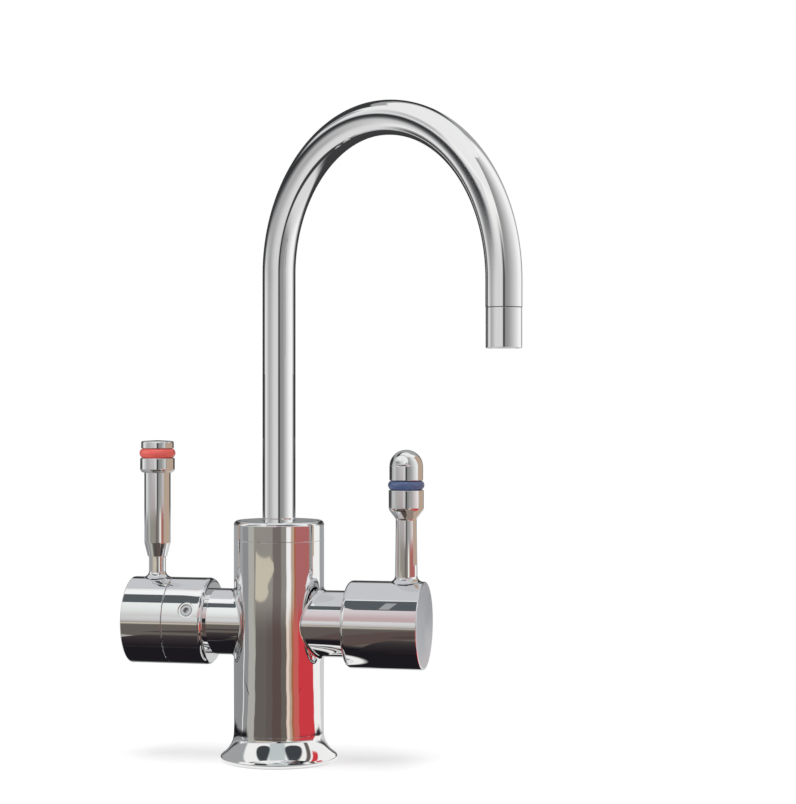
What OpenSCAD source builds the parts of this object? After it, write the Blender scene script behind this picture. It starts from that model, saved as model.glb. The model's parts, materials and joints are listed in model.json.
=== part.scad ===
// Boiling water tap with a swivel gooseneck spout and two side valves.
// Origin: tap axis at the worktop surface. +Z up, +X towards the cold handle, -Y to the front.

/* [Column] */
// Diameter of the column and its cap
column_d = 38.8; // [38:0.1:40]
// Height of the column's cap seam above the worktop
column_h = 94.6; // [92:0.1:100]
// Height of the cap above its seam
cap_h = 8.4; // [7.5:0.1:12]
// Height of the handle axis above the worktop
axis_z = 58.9; // [58:0.1:60]

/* [Base] */
// Diameter of the base flange at its lip
flange_d = 50.4; // [48:0.1:60]
// Height of the base flange
flange_h = 12; // [11:0.5:13]
// Worktop that the fixings are drawn clamped to
worktop_t = 30; // [20:1:34]

/* [Shank] */
// Outer diameter of the threaded mounting shank
shank_d = 26.4; // [25:0.1:27]
// Length of the shank below the worktop surface
shank_l = 52; // [50:1:70]
// Bore of the shank, which the water tails pass through
shank_bore = 21; // [20.8:0.1:21.4]
// Length of the water tails below the worktop surface
tail_l = 76; // [76:1:110]

/* [Side valves] */
// Diameter of the hubs that the levers stand on
hub_d = 37.4; // [37:0.1:38.5]
// Diameter of the fixed necks between column and hubs
neck_d = 28.5; // [28.3:0.1:28.7]
// Distance from the tap axis to the hot hub's outer end
hot_hub_end = 65.6; // [64:0.1:67]
// Distance from the tap axis to the cold hub's outer end
cold_hub_end = 64; // [64:0.1:67]
// Distance from the tap axis to the hot hub's inner end
hot_hub_start = 29.4; // [29:0.1:31]
// Distance from the tap axis to the cold hub's inner end
cold_hub_start = 31; // [30:0.1:33]
// Distance from the tap axis to the seam of the hot hub
hot_seam = 47.2; // [47:0.1:49]
// Distance from the tap axis to the hot lever's axis
hot_lever_x = 55; // [54.8:0.1:55.2]
// Distance from the tap axis to the cold lever's axis
cold_lever_x = 56; // [55.3:0.1:56.2]
// How far the hot lever's sleeve lifts to release it
lift = 4; // [3:0.5:5]

/* [Spout] */
// Outer diameter of the spout tube
spout_d = 14.2; // [14:0.1:14.3]
// Wall of the spout tube
spout_wall = 1; // [0.8:0.1:1.2]
// Radius of the gooseneck's bend over the riser
riser_bend_r = 61; // [55:1:75]
// Radius of the gooseneck's bend over the outlet
outlet_bend_r = 69; // [55:1:75]
// Height of the centre line at the top of the arch
apex_z = 270; // [266:1:280]
// Height of the seam between the tube and the nozzle
nozzle_top = 190.4; // [185:0.1:195]
// Length of the nozzle below the seam
nozzle_l = 15.8; // [14:0.1:20]
// Angle of the spout from +X, as it stands at rest
spout_yaw = -33; // [-90:1:90]

/* [Hidden] */
// From the swivel axis to the outlet's axis
reach = riser_bend_r + outlet_bend_r;
$fn = 96;

// Cuts run this far past the face that they open
over = 1;
// Radial clearance of a turning fit
fit = 0.05;
column_top = column_h + cap_h;

// Water tails, at the corners of a triangle round the tap axis
tail_pitch_r = 5.8;
supply_xy = [0, tail_pitch_r];
feed_xy = [-tail_pitch_r * cos(30), -tail_pitch_r * sin(30)];
return_xy = [tail_pitch_r * cos(30), -tail_pitch_r * sin(30)];
tail_head_d = 8;
return_head_d = 9.6;
shank_top = 16;
tail_top = 22;
tail_end_l = 16;
waterway_d = 4.5;

// Spout socket in the column, from its floor up
socket_z = 68;
socket_d = 18.1;
bush_z = 86;
bush_d = 24;
cap_spigot_z = 91;
cap_spigot_d = 32;
cap_bore_d = 14.6;

// Side valve, as distances from the tap axis along the handle axis
port_floor = 11;
tail_floor = 12;
boss_end = 22;
chamber_floor = 18;
disc_start = 20.5;
disc_t = 3;
foot_end = disc_start + 2 * disc_t + 3.5;
neck_end = 42;
hex_end = 46;
nose_end = 52;
spline_end = 60;
end_disc_t = 2.2;
end_disc_d = 35.6;
port_y = 3.3;
port_d = 3;
spindle_d = 8;
spline_d = 7;
chamber_d = 18;
hub_bore_d = 30;

// Levers, as heights above the worktop
hub_r = hub_d / 2;
lever_foot_z = axis_z + hub_r;
spigot_z = axis_z + hub_bore_d / 2 + 0.4;
rod_d = 3;
rod_head_d = 5.8;
rod_head_z = 126.6;
rod_tip_z = axis_z + 13;
hot_stem_d = 7.4;
sleeve_z = 86.6;
sleeve_cone_z = 92.6;
sleeve_d = 11.4;
hot_collar_z = 123.1;
hot_ring_z = 129.4;
hot_cap_z = 133.7;
hot_top_z = 137.2;
stem_nut_z = 112;
stem_top_z = 116;
spring_wire = 0.7;
spring_r = 4.3;
spring_turns = 8;
cold_cone_z = 104.6;
cold_collar_z = 107.8;
cold_ring_z = 116.5;
cold_cap_z = 120.6;
cold_top_z = 133.6;
head_spigot_d = 11;

// ---- helpers ----

// A bar along the handle axis, on the +X side
module x_rod(from, to, d, sides = 96) {
    translate([from, 0, axis_z])
        rotate([0, 90, 0])
            cylinder(h = to - from, d = d, $fn = sides);
}

// A ring along the handle axis, on the +X side
module x_tube(from, to, d, bore) {
    difference() {
        x_rod(from, to, d);
        x_rod(from - over, to + over, bore);
    }
}

// An upright bar on the tap axis
module z_rod(from, to, d, sides = 96) {
    translate([0, 0, from])
        cylinder(h = to - from, d = d, $fn = sides);
}

// An upright ring on the tap axis
module z_tube(from, to, d, bore) {
    difference() {
        z_rod(from, to, d);
        z_rod(from - over, to + over, bore);
    }
}

// A round seal of the given mean radius, on the tap axis
module z_seal(z, mean_r, wire) {
    translate([0, 0, z])
        rotate_extrude()
            translate([mean_r, 0])
                circle(d = wire, $fn = 32);
}

// Turns an upright shape so that its axis is the handle axis, with z = 0 on the tap axis
module on_handle_axis() {
    translate([0, 0, axis_z])
        rotate([0, 90, 0])
            children();
}

// Puts a shape made on the +X side on the hot side
module hot_side() {
    mirror([1, 0, 0])
        children();
}

// Turns the spout from +X to where it stands at rest
module spout_at_rest() {
    rotate([0, 0, spout_yaw])
        children();
}

// Moves an upright shape onto a lever's axis
module on_lever(x) {
    translate([x, 0, 0])
        children();
}

// ---- base and fixings ----

// Flat rubber ring that the tap stands on
module base_seal() {
    color([0.08, 0.08, 0.08])
        z_tube(0, 1.6, 46, 28);
}

// Flared skirt with a lip, bored for the column's foot
module base_flange() {
    lip_r = flange_d / 2;
    lip_z = 1.8;
    flare_r = 11.4;
    flare_x = column_d / 2 + flare_r;
    color([0.85, 0.86, 0.88])
        difference() {
            rotate_extrude()
                difference() {
                    union() {
                        square([column_d / 2, flange_h]);
                        translate([0, 0.4])
                            square([lip_r, flange_h - 0.4]);
                    }
                    translate([flare_x, flange_h])
                        circle(r = flare_r);
                    translate([lip_r - 0.6, lip_z])
                        square([flare_r, flange_h]);
                    square([column_d, 0.4]);
                }
            z_rod(-over, flange_h + over, 34);
            z_rod(-over, 1.6, 46);
        }
}

// Threaded tube that passes through the worktop
module mounting_shank() {
    color([0.78, 0.66, 0.38])
        z_tube(-shank_l, shank_top, shank_d, shank_bore);
}

// Rubber washer under the worktop
module deck_rubber_washer() {
    color([0.08, 0.08, 0.08])
        z_tube(-worktop_t - 3, -worktop_t, 45, shank_d + 0.4);
}

// Steel washer under the rubber one
module deck_steel_washer() {
    color([0.7, 0.71, 0.72])
        z_tube(-worktop_t - 4.5, -worktop_t - 3, 45, shank_d + 0.4);
}

// Hexagon nut that clamps the tap to the worktop
module lock_nut() {
    nut_corner_d = 39.3;
    color([0.78, 0.66, 0.38])
        difference() {
            z_rod(-worktop_t - 12.5, -worktop_t - 4.5, nut_corner_d, 6);
            z_rod(-worktop_t - 13.5, -worktop_t - 3.5, shank_d);
        }
}

// Rigid water tail: a head set in the column, a tube, and an end for a push-on connector
module tail(xy, head_d, tube_d, end_d, bore) {
    color([0.80, 0.48, 0.33])
        translate([xy[0], xy[1], 0])
            difference() {
                union() {
                    z_rod(shank_top, tail_top, head_d);
                    z_rod(-tail_l, shank_top, tube_d);
                    z_rod(-tail_l, tail_end_l - tail_l, end_d);
                }
                z_rod(-tail_l - over, tail_top + over, bore);
            }
}

module cold_supply_tail() {
    tail(supply_xy, tail_head_d, 6, 6.35, 4.2);
}

module tank_feed_tail() {
    tail(feed_xy, tail_head_d, 6, 6.35, 4.2);
}

module hot_return_tail() {
    tail(return_xy, return_head_d, 7.6, 8, 5.8);
}

// Face seals between the tails' heads and the column
module tail_seals() {
    color([0.08, 0.08, 0.08])
        for (seat = [[supply_xy, tail_head_d], [feed_xy, tail_head_d], [return_xy, return_head_d]])
            translate([seat[0][0], seat[0][1], 0])
                z_tube(tail_top, tail_top + 1.2, seat[1], 5);
}

// ---- column ----

// Waterways drilled in the column
module waterways() {
    inlet_y = port_y;
    outlet_y = -port_y;
    // Cold supply, up to the handle axis and across to both valves
    translate([supply_xy[0], supply_xy[1], 0])
        z_rod(shank_top, axis_z, waterway_d);
    translate([0, inlet_y, 0])
        x_rod(-port_floor - over, port_floor + over, 3.6);
    // Hot valve, down to the tank
    translate([feed_xy[0], feed_xy[1], 0])
        z_rod(shank_top, axis_z, waterway_d);
    translate([0, outlet_y, 0])
        x_rod(-port_floor - over, feed_xy[0], 3.6);
    // Tank and cold valve, up to the spout
    translate([return_xy[0], return_xy[1], 0])
        z_rod(shank_top, socket_z + over, waterway_d);
    translate([0, outlet_y, 0])
        x_rod(return_xy[0], port_floor + over, 3.6);
}

module tap_body() {
    color([0.85, 0.86, 0.88])
        difference() {
            union() {
                z_rod(flange_h, column_h, column_d);
                z_rod(1.6, flange_h, 34);
                x_rod(-boss_end, boss_end, neck_d);
            }
            z_rod(0, shank_top, shank_d);
            for (seat = [[supply_xy, tail_head_d], [feed_xy, tail_head_d], [return_xy, return_head_d]])
                translate([seat[0][0], seat[0][1], 0])
                    z_rod(shank_top - over, tail_top + 1.2, seat[1]);
            waterways();
            x_rod(port_floor, boss_end + over, 20);
            x_rod(-boss_end - over, -port_floor, 20);
            z_rod(socket_z, column_h + over, socket_d);
            z_rod(bush_z, column_h + over, bush_d);
            z_rod(cap_spigot_z, column_h + over, cap_spigot_d);
        }
}

// Cap with a rounded top edge, screwed into the column over the spout's bushes
module top_cap() {
    edge_r = 1.8;
    color([0.85, 0.86, 0.88])
        difference() {
            union() {
                z_rod(cap_spigot_z, column_h, cap_spigot_d);
                translate([0, 0, column_h])
                    rotate_extrude()
                        union() {
                            square([column_d / 2 - edge_r, cap_h]);
                            square([column_d / 2, cap_h - edge_r]);
                            translate([column_d / 2 - edge_r, cap_h - edge_r])
                                circle(r = edge_r, $fn = 64);
                        }
            }
            z_rod(cap_spigot_z - over, column_h + 2.4, socket_d + 0.3);
            z_rod(column_h, column_top + over, cap_bore_d);
            z_rod(column_top - 2, column_top - 0.6, 17);
        }
}

// Wiper in the cap's bore, which shows as a dark line round the spout
module cap_wiper_ring() {
    color([0.08, 0.08, 0.08])
        z_tube(column_top - 2, column_top - 0.6, 17, spout_d + 2 * fit);
}

// ---- spout ----

// One gooseneck path, as a solid of the given diameter
module gooseneck(d, from, to, extra) {
    z_rod(from - extra, apex_z - riser_bend_r, d);
    translate([riser_bend_r, 0, apex_z - riser_bend_r])
        rotate([90, -90, 0])
            rotate_extrude(angle = 90)
                translate([riser_bend_r, 0])
                    circle(d = d);
    translate([riser_bend_r, 0, apex_z - outlet_bend_r])
        rotate([90, 0, 0])
            rotate_extrude(angle = 90)
                translate([outlet_bend_r, 0])
                    circle(d = d);
    translate([reach, 0, 0])
        z_rod(to - extra, apex_z - outlet_bend_r, d);
}

module spout_tube() {
    color([0.85, 0.86, 0.88])
        spout_at_rest()
            difference() {
                gooseneck(spout_d, bush_z - 6, nozzle_top, 0);
                gooseneck(spout_d - 2 * spout_wall, bush_z - 6, nozzle_top, over);
            }
}

// Brass foot that turns in the column's socket, with a flange held between the bushes
module spout_foot() {
    color([0.78, 0.66, 0.38])
        difference() {
            union() {
                z_rod(socket_z + 1, column_h + 2, socket_d - 2 * fit);
                z_rod(87.3, 89.5, bush_d - 2);
            }
            for (z = [72, 77])
                z_tube(z, z + 2, 20, 15.4);
            z_rod(socket_z, column_h, 11);
            z_rod(bush_z - 6, column_h + 3, spout_d);
        }
}

// Two seals in the foot's grooves
module spout_seals() {
    color([0.08, 0.08, 0.08])
        for (z = [73, 78])
            z_seal(z, 8.39, 1.24);
}

module spout_lower_bush() {
    color([0.92, 0.91, 0.86])
        z_tube(bush_z, 87.2, bush_d, socket_d);
}

module spout_upper_bush() {
    color([0.92, 0.91, 0.86])
        z_tube(89.6, cap_spigot_z, bush_d, socket_d);
}

// Nozzle with a fine groove at its seam, screwed up into the tube
module outlet_nozzle() {
    mouth_z = nozzle_top - nozzle_l;
    spigot_d = spout_d - 2 * spout_wall;
    color([0.85, 0.86, 0.88])
        spout_at_rest()
            translate([reach, 0, 0])
                difference() {
                    union() {
                        z_rod(mouth_z, nozzle_top - 0.3, 14);
                        z_rod(nozzle_top - 0.3, nozzle_top, 13.2);
                        z_rod(nozzle_top, nozzle_top + 6, spigot_d);
                    }
                    z_rod(mouth_z - over, nozzle_top + 7, 9.6);
                    z_rod(mouth_z + 4, nozzle_top + 7, 10.6);
                    z_tube(nozzle_top + 2, nozzle_top + 4, 14, 11.4);
                }
}

module nozzle_seal() {
    color([0.08, 0.08, 0.08])
        spout_at_rest()
            translate([reach, 0, 0])
                z_tube(nozzle_top + 2, nozzle_top + 4, spout_d - 2 * spout_wall, 11.4);
}

// Ring with crossed vanes that straightens the flow
module flow_straightener() {
    floor_z = nozzle_top - nozzle_l + 4;
    color([0.92, 0.91, 0.86])
        spout_at_rest()
            translate([reach, 0, 0])
                union() {
                    z_tube(floor_z, floor_z + 5, 10.6, 8.6);
                    for (turn = [0, 60, 120])
                        rotate([0, 0, turn])
                            translate([-4.6, -0.3, floor_z])
                                cube([9.2, 0.6, 5]);
                }
}

// ---- side valves, made on the +X side ----

// Fixed neck: a threaded tail in the column, and the chamber of the cartridge
module neck() {
    color([0.85, 0.86, 0.88])
        difference() {
            union() {
                x_rod(tail_floor, boss_end, 20);
                x_rod(boss_end, neck_end, neck_d);
            }
            x_rod(chamber_floor, neck_end + over, chamber_d);
            for (side = [-1, 1])
                translate([0, side * port_y, 0])
                    x_rod(tail_floor - over, chamber_floor + over, port_d);
        }
}

// Face seal between the neck's tail and the column
module neck_seal() {
    color([0.08, 0.08, 0.08])
        difference() {
            x_rod(port_floor, tail_floor, 20);
            for (side = [-1, 1])
                translate([0, side * port_y, 0])
                    x_rod(port_floor - over, tail_floor + over, 3.6);
        }
}

// A round plate across the valve, with its two ports
module ported_plate(from, to, d) {
    difference() {
        x_rod(from, to, d);
        for (side = [-1, 1])
            translate([0, side * port_y, 0])
                x_rod(from - over, to + over, port_d);
    }
}

module seat_seal() {
    color([0.1, 0.1, 0.1])
        ported_plate(chamber_floor, disc_start, chamber_d - 1);
}

module fixed_disc() {
    color([0.93, 0.92, 0.9])
        ported_plate(disc_start, disc_start + disc_t, 11.8);
}

// Disc whose slot lies across the ports when shut and joins them after a quarter turn
module moving_disc() {
    from = disc_start + disc_t;
    color([0.93, 0.92, 0.9])
        difference() {
            x_rod(from, from + disc_t, 11.8);
            translate([from - over, -1.6, axis_z - 4.9])
                cube([over + 1.6, 3.2, 9.8]);
            translate([from + disc_t - 1, -5.9 - over, axis_z - 1])
                cube([1 + over, 11.8 + 2 * over, 2]);
        }
}

// Headwork that holds the discs and guides the spindle
module cartridge() {
    color([0.78, 0.66, 0.38])
        difference() {
            union() {
                x_rod(disc_start, neck_end, chamber_d);
                x_rod(neck_end, hex_end, 21.9, 6);
                x_rod(hex_end, nose_end, 14);
            }
            x_rod(disc_start - over, foot_end + 0.3, 12);
            x_rod(foot_end, nose_end + over, spindle_d + 2 * fit);
        }
}

// Spindle: a driving tang and foot, a shaft with a seal groove, and a splined end
module spindle() {
    foot = disc_start + 2 * disc_t;
    color([0.78, 0.66, 0.38])
        difference() {
            union() {
                translate([foot - 1, -5.6, axis_z - 0.95])
                    cube([1.5, 11.2, 1.9]);
                x_rod(foot, foot_end, 11.6);
                x_rod(foot_end, nose_end + 1.5, spindle_d);
                x_rod(nose_end + 1.5, spline_end, spline_d);
            }
            x_tube(38, 39.6, 10, 5.9);
            x_rod(50, spline_end + over, 4);
            x_tube(nose_end + 0.1, nose_end + 0.9, 10, 6.8);
        }
}

module spindle_seal() {
    color([0.08, 0.08, 0.08])
        on_handle_axis()
            z_seal(38.8, 3.51, 1.02);
}

// Spring clip that keeps the spindle in the cartridge
module circlip() {
    color([0.55, 0.56, 0.58])
        difference() {
            x_tube(nose_end + 0.1, nose_end + 0.9, 11, 6.8);
            translate([nose_end, -1.2, axis_z])
                cube([2, 2.4, 8]);
        }
}

// Screw through the hub into the spindle, under the end disc
module hub_screw(hub_end) {
    color([0.7, 0.71, 0.72])
        difference() {
            union() {
                x_rod(51, spline_end, 4);
                x_rod(spline_end, hub_end - end_disc_t - 0.3, 7.6);
            }
            x_rod(spline_end + 0.5, hub_end - end_disc_t, 2.9, 6);
        }
}

// Satin disc that closes the hub's outer end
module end_disc(hub_end) {
    color([0.62, 0.62, 0.64])
        x_rod(hub_end - end_disc_t, hub_end, end_disc_d);
}

// Outline of a hub turned about the handle axis, with its inner edge rounded
module hub_outline(from, to, edge_r, end_r) {
    on_handle_axis()
        rotate_extrude()
            union() {
                translate([0, from])
                    square([hub_r - edge_r, to - from]);
                translate([0, from + edge_r])
                    square([hub_r, to - from - edge_r - end_r]);
                translate([0, to - end_r])
                    square([hub_r - end_r, end_r]);
                translate([hub_r - edge_r, from + edge_r])
                    circle(r = edge_r, $fn = 64);
                translate([hub_r - end_r, to - end_r])
                    circle(r = end_r, $fn = 32);
            }
}

// Cuts of a turning hub: spline bore, screw seat and end disc recess
module hub_cuts(from, bore_to, hub_end) {
    x_rod(from - over, bore_to, hub_bore_d);
    x_rod(bore_to - over, spline_end + over, spline_d);
    x_rod(spline_end, hub_end, 9);
    x_rod(hub_end - end_disc_t, hub_end + over, end_disc_d);
}

// ---- hot side ----

module hot_neck() {
    hot_side() neck();
}

module hot_neck_seal() {
    hot_side() neck_seal();
}

module hot_seat_seal() {
    hot_side() seat_seal();
}

module hot_cartridge() {
    hot_side() cartridge();
}

module hot_fixed_disc() {
    hot_side() fixed_disc();
}

module hot_moving_disc() {
    hot_side() moving_disc();
}

module hot_spindle() {
    hot_side() spindle();
}

module hot_spindle_seal() {
    hot_side() spindle_seal();
}

module hot_circlip() {
    hot_side() circlip();
}

module hot_hub_screw() {
    hot_side() hub_screw(hot_hub_end);
}

module hot_end_disc() {
    hot_side() end_disc(hot_hub_end);
}

// Ring on the neck's end with an arc groove, whose ends stop the lock rod's travel
module hot_lock_ring() {
    outer_r = 14;
    floor_r = 12.6;
    groove_w = rod_d + 0.8;
    color([0.7, 0.71, 0.72])
        hot_side()
            difference() {
                x_tube(neck_end, 58, 2 * outer_r, 23.4);
                on_handle_axis()
                    rotate([0, 0, 165])
                        rotate_extrude(angle = 120)
                            translate([floor_r, hot_lever_x - groove_w / 2])
                                square([3, groove_w]);
            }
}

// Fixed inner part of the hot hub, clamped on the neck by its grub screw
module hot_fixed_collar() {
    color([0.85, 0.86, 0.88])
        hot_side()
            difference() {
                hub_outline(hot_hub_start, hot_seam, 2, 0.3);
                x_rod(hot_hub_start - over, hot_seam + over, neck_d);
                x_rod(neck_end, hot_seam + over, hub_bore_d);
                grub_place()
                    cylinder(h = 10, d = 5);
                grub_place()
                    translate([0, 0, 3.4])
                        cylinder(h = 5, d = 7.1);
            }
}

// Grub screw's place: square to the neck, at the front, 20 degrees above the handle axis
module grub_place() {
    grub_x = 36.4;
    grub_tilt = 20;
    translate([grub_x, 0, axis_z])
        rotate([90 - grub_tilt, 0, 0])
            translate([0, 0, neck_d / 2])
                children();
}

module hot_grub_screw() {
    color([0.55, 0.56, 0.58])
        hot_side()
            difference() {
                grub_place()
                    cylinder(h = 3.5, d = 5);
                grub_place()
                    translate([0, 0, 1.5])
                        cylinder(h = 4, d = 2.9, $fn = 6);
                x_rod(30, 44, neck_d);
            }
}

// Turning outer part of the hot hub
module hot_hub() {
    web = 58.6;
    color([0.85, 0.86, 0.88])
        hot_side()
            difference() {
                union() {
                    difference() {
                        hub_outline(hot_seam + 0.15, hot_hub_end, 0.3, 0.5);
                        hub_cuts(hot_seam, web, hot_hub_end);
                    }
                    x_tube(54, web, 13, spline_d);
                }
                on_lever(hot_lever_x)
                    z_rod(spigot_z, lever_foot_z + over, 6);
                on_lever(hot_lever_x)
                    z_rod(axis_z + 8, lever_foot_z, rod_d + 2 * fit);
            }
}

// Thin hollow stem with a flared foot on the hub
module hot_stem() {
    flare_r = 3;
    stem_r = hot_stem_d / 2;
    color([0.85, 0.86, 0.88])
        hot_side()
            on_lever(hot_lever_x)
                difference() {
                    union() {
                        difference() {
                            rotate_extrude()
                                difference() {
                                    translate([0, lever_foot_z - 4])
                                        square([stem_r + 1.8, 4.6 + flare_r]);
                                    translate([stem_r + flare_r, lever_foot_z + 0.6 + flare_r])
                                        circle(r = flare_r);
                                }
                            on_lever(-hot_lever_x)
                                x_rod(40, 70, hub_d);
                        }
                        z_rod(lever_foot_z - 1, stem_nut_z, hot_stem_d);
                        z_rod(spigot_z, lever_foot_z, 6);
                        z_rod(stem_nut_z, stem_top_z, 6);
                    }
                    z_rod(spigot_z - over, stem_top_z + over, rod_d + 2 * fit);
                    difference() {
                        on_lever(-hot_lever_x)
                            x_rod(40, 70, hub_d);
                        z_rod(spigot_z - over, lever_foot_z + over, 6);
                    }
                }
}

// Nut on the stem's top that the lock spring pushes against
module hot_stem_nut() {
    color([0.78, 0.66, 0.38])
        hot_side()
            on_lever(hot_lever_x)
                difference() {
                    z_rod(stem_nut_z, stem_nut_z + 3, 9.4);
                    z_rod(stem_nut_z - over, stem_nut_z + 4, 6);
                }
}

// Coil spring as one swept tube
coil_rings = 12;
coil_sides = 6;
coil_low = sleeve_cone_z + 0.4 + spring_wire / 2 + 0.05;
coil_high = stem_nut_z - spring_wire / 2 - 0.05;
coil_steps = spring_turns * coil_rings;
coil_pitch = (coil_high - coil_low) / spring_turns;
echo(spring_gap = coil_pitch - spring_wire);
function coil_angle(i) = 360 * i / coil_rings;
function coil_ring(i) = [
    for (k = [0 : coil_sides - 1])
        let (out = spring_r + spring_wire / 2 * cos(360 * k / coil_sides),
             up = spring_wire / 2 * sin(360 * k / coil_sides))
            [out * cos(coil_angle(i)), out * sin(coil_angle(i)),
             coil_low + coil_pitch * i / coil_rings + up]
];
coil_points = [for (i = [0 : coil_steps]) each coil_ring(i)];
coil_faces = concat(
    [[for (k = [0 : coil_sides - 1]) k]],
    [for (i = [0 : coil_steps - 1], k = [0 : coil_sides - 1])
        let (a = i * coil_sides + k, b = i * coil_sides + (k + 1) % coil_sides)
            each [[a, a + coil_sides, b], [b, a + coil_sides, b + coil_sides]]],
    [[for (k = [coil_sides - 1 : -1 : 0]) coil_steps * coil_sides + k]]
);

module hot_lock_spring() {
    color([0.6, 0.61, 0.63])
        hot_side()
            on_lever(hot_lever_x)
                polyhedron(points = coil_points, faces = coil_faces);
}

// Rod from the head down to the lock ring's groove
module hot_lock_rod() {
    color([0.7, 0.71, 0.72])
        hot_side()
            on_lever(hot_lever_x) {
                z_rod(rod_tip_z, rod_head_z, rod_d);
                z_rod(rod_head_z, rod_head_z + 2, rod_head_d);
            }
}

// Grip sleeve that slides up the stem
module hot_sleeve() {
    tip_r = 4.2;
    color([0.85, 0.86, 0.88])
        hot_side()
            on_lever(hot_lever_x)
                difference() {
                    union() {
                        z_rod(sleeve_cone_z, hot_collar_z, sleeve_d);
                        rotate_extrude()
                            polygon([[0, sleeve_z], [tip_r - 0.3, sleeve_z], [tip_r, sleeve_z + 0.3],
                                     [sleeve_d / 2, sleeve_cone_z], [0, sleeve_cone_z]]);
                    }
                    z_rod(sleeve_z - over, hot_collar_z + over, hot_stem_d + 2 * fit);
                    z_rod(sleeve_cone_z + 0.4, hot_collar_z + over, 9.8);
                }
}

// Collar of the hot head, with its lower edge rounded and spigots for the sleeve and the cap
module hot_collar() {
    collar_r = 7.5;
    edge_r = 1.6;
    color([0.85, 0.86, 0.88])
        hot_side()
            on_lever(hot_lever_x)
                difference() {
                    union() {
                        z_rod(hot_collar_z - 5, hot_collar_z, 9.8);
                        rotate_extrude()
                            union() {
                                translate([0, hot_collar_z])
                                    square([collar_r - edge_r, hot_ring_z - hot_collar_z]);
                                translate([0, hot_collar_z + edge_r])
                                    square([collar_r, hot_ring_z - hot_collar_z - edge_r]);
                                translate([collar_r - edge_r, hot_collar_z + edge_r])
                                    circle(r = edge_r, $fn = 48);
                            }
                        z_rod(hot_ring_z, hot_cap_z + 1.4, head_spigot_d);
                    }
                    z_rod(hot_collar_z - 6, hot_top_z, rod_d);
                    z_rod(rod_head_z, hot_top_z, rod_head_d);
                }
}

// Coloured ring with a bulging rim, round the head's spigot
module head_ring(low, high, outer_r) {
    bulge = 0.9;
    height = high - low;
    arc_r = (height * height / 4 + bulge * bulge) / (2 * bulge);
    difference() {
        rotate_extrude()
            intersection() {
                translate([outer_r - arc_r, low + height / 2])
                    circle(r = arc_r);
                translate([0, low])
                    square([outer_r, height]);
            }
        z_rod(low - over, high + over, head_spigot_d);
    }
}

module hot_ring() {
    color([0.86, 0.25, 0.24])
        hot_side()
            on_lever(hot_lever_x)
                head_ring(hot_ring_z, hot_cap_z, 7.8);
}

// Short cap with a slightly domed top, and a boss that holds the rod's head down
module hot_cap() {
    cap_r = 7.1;
    edge_r = 0.8;
    dome = 0.4;
    dome_r = (cap_r * cap_r + dome * dome) / (2 * dome);
    color([0.85, 0.86, 0.88])
        hot_side()
            on_lever(hot_lever_x)
                union() {
                    difference() {
                        rotate_extrude()
                            intersection() {
                                union() {
                                    translate([0, hot_cap_z])
                                        square([cap_r - edge_r, hot_top_z - hot_cap_z]);
                                    translate([0, hot_cap_z])
                                        square([cap_r, hot_top_z - hot_cap_z - dome - edge_r]);
                                    translate([cap_r - edge_r, hot_top_z - dome - edge_r])
                                        circle(r = edge_r, $fn = 48);
                                }
                                translate([0, hot_top_z - dome_r])
                                    circle(r = dome_r);
                                square([cap_r, hot_top_z]);
                            }
                        z_rod(hot_cap_z - over, hot_cap_z + 1.4, head_spigot_d);
                    }
                    z_rod(rod_head_z + 2, hot_cap_z + 2, rod_head_d);
                }
}

// ---- cold side ----

module cold_neck() {
    neck();
}

module cold_neck_seal() {
    neck_seal();
}

module cold_seat_seal() {
    seat_seal();
}

module cold_cartridge() {
    cartridge();
}

module cold_fixed_disc() {
    fixed_disc();
}

module cold_moving_disc() {
    moving_disc();
}

module cold_spindle() {
    spindle();
}

module cold_spindle_seal() {
    spindle_seal();
}

module cold_circlip() {
    circlip();
}

module cold_hub_screw() {
    hub_screw(cold_hub_end);
}

module cold_end_disc() {
    end_disc(cold_hub_end);
}

// Turning hub of the cold side, from its inner end to its end disc
module cold_hub() {
    color([0.85, 0.86, 0.88])
        difference() {
            hub_outline(cold_hub_start, cold_hub_end, 2, 0.5);
            hub_cuts(cold_hub_start, 54, cold_hub_end);
            on_lever(cold_lever_x)
                z_rod(spigot_z, lever_foot_z + over, 7);
        }
}

// Turned stem: flared foot, slim taper, cone and collar in one piece
module cold_stem() {
    flare_r = 3;
    foot_r = 4.8;
    neck_r = 4.45;
    collar_r = 7.45;
    flare_z = lever_foot_z + 0.6 + flare_r;
    color([0.85, 0.86, 0.88])
        on_lever(cold_lever_x)
            union() {
                difference() {
                    union() {
                        rotate_extrude()
                            difference() {
                                translate([0, lever_foot_z - 4])
                                    square([foot_r + 2, flare_z - lever_foot_z + 4]);
                                translate([foot_r + flare_r, flare_z])
                                    circle(r = flare_r);
                            }
                        rotate_extrude()
                            polygon([[0, flare_z], [foot_r, flare_z], [neck_r, cold_cone_z],
                                     [neck_r + 1.2, cold_cone_z + 0.7], [collar_r - 0.4, cold_collar_z - 0.4],
                                     [collar_r, cold_collar_z + 0.4], [collar_r, cold_ring_z],
                                     [head_spigot_d / 2, cold_ring_z], [head_spigot_d / 2, cold_cap_z + 3.4],
                                     [0, cold_cap_z + 3.4]]);
                    }
                    on_lever(-cold_lever_x)
                        x_rod(40, 72, hub_d);
                }
                z_rod(spigot_z, lever_foot_z + 0.5, 7);
            }
}

module cold_ring() {
    color([0.27, 0.33, 0.50])
        on_lever(cold_lever_x)
            head_ring(cold_ring_z, cold_cap_z, 7.75);
}

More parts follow.
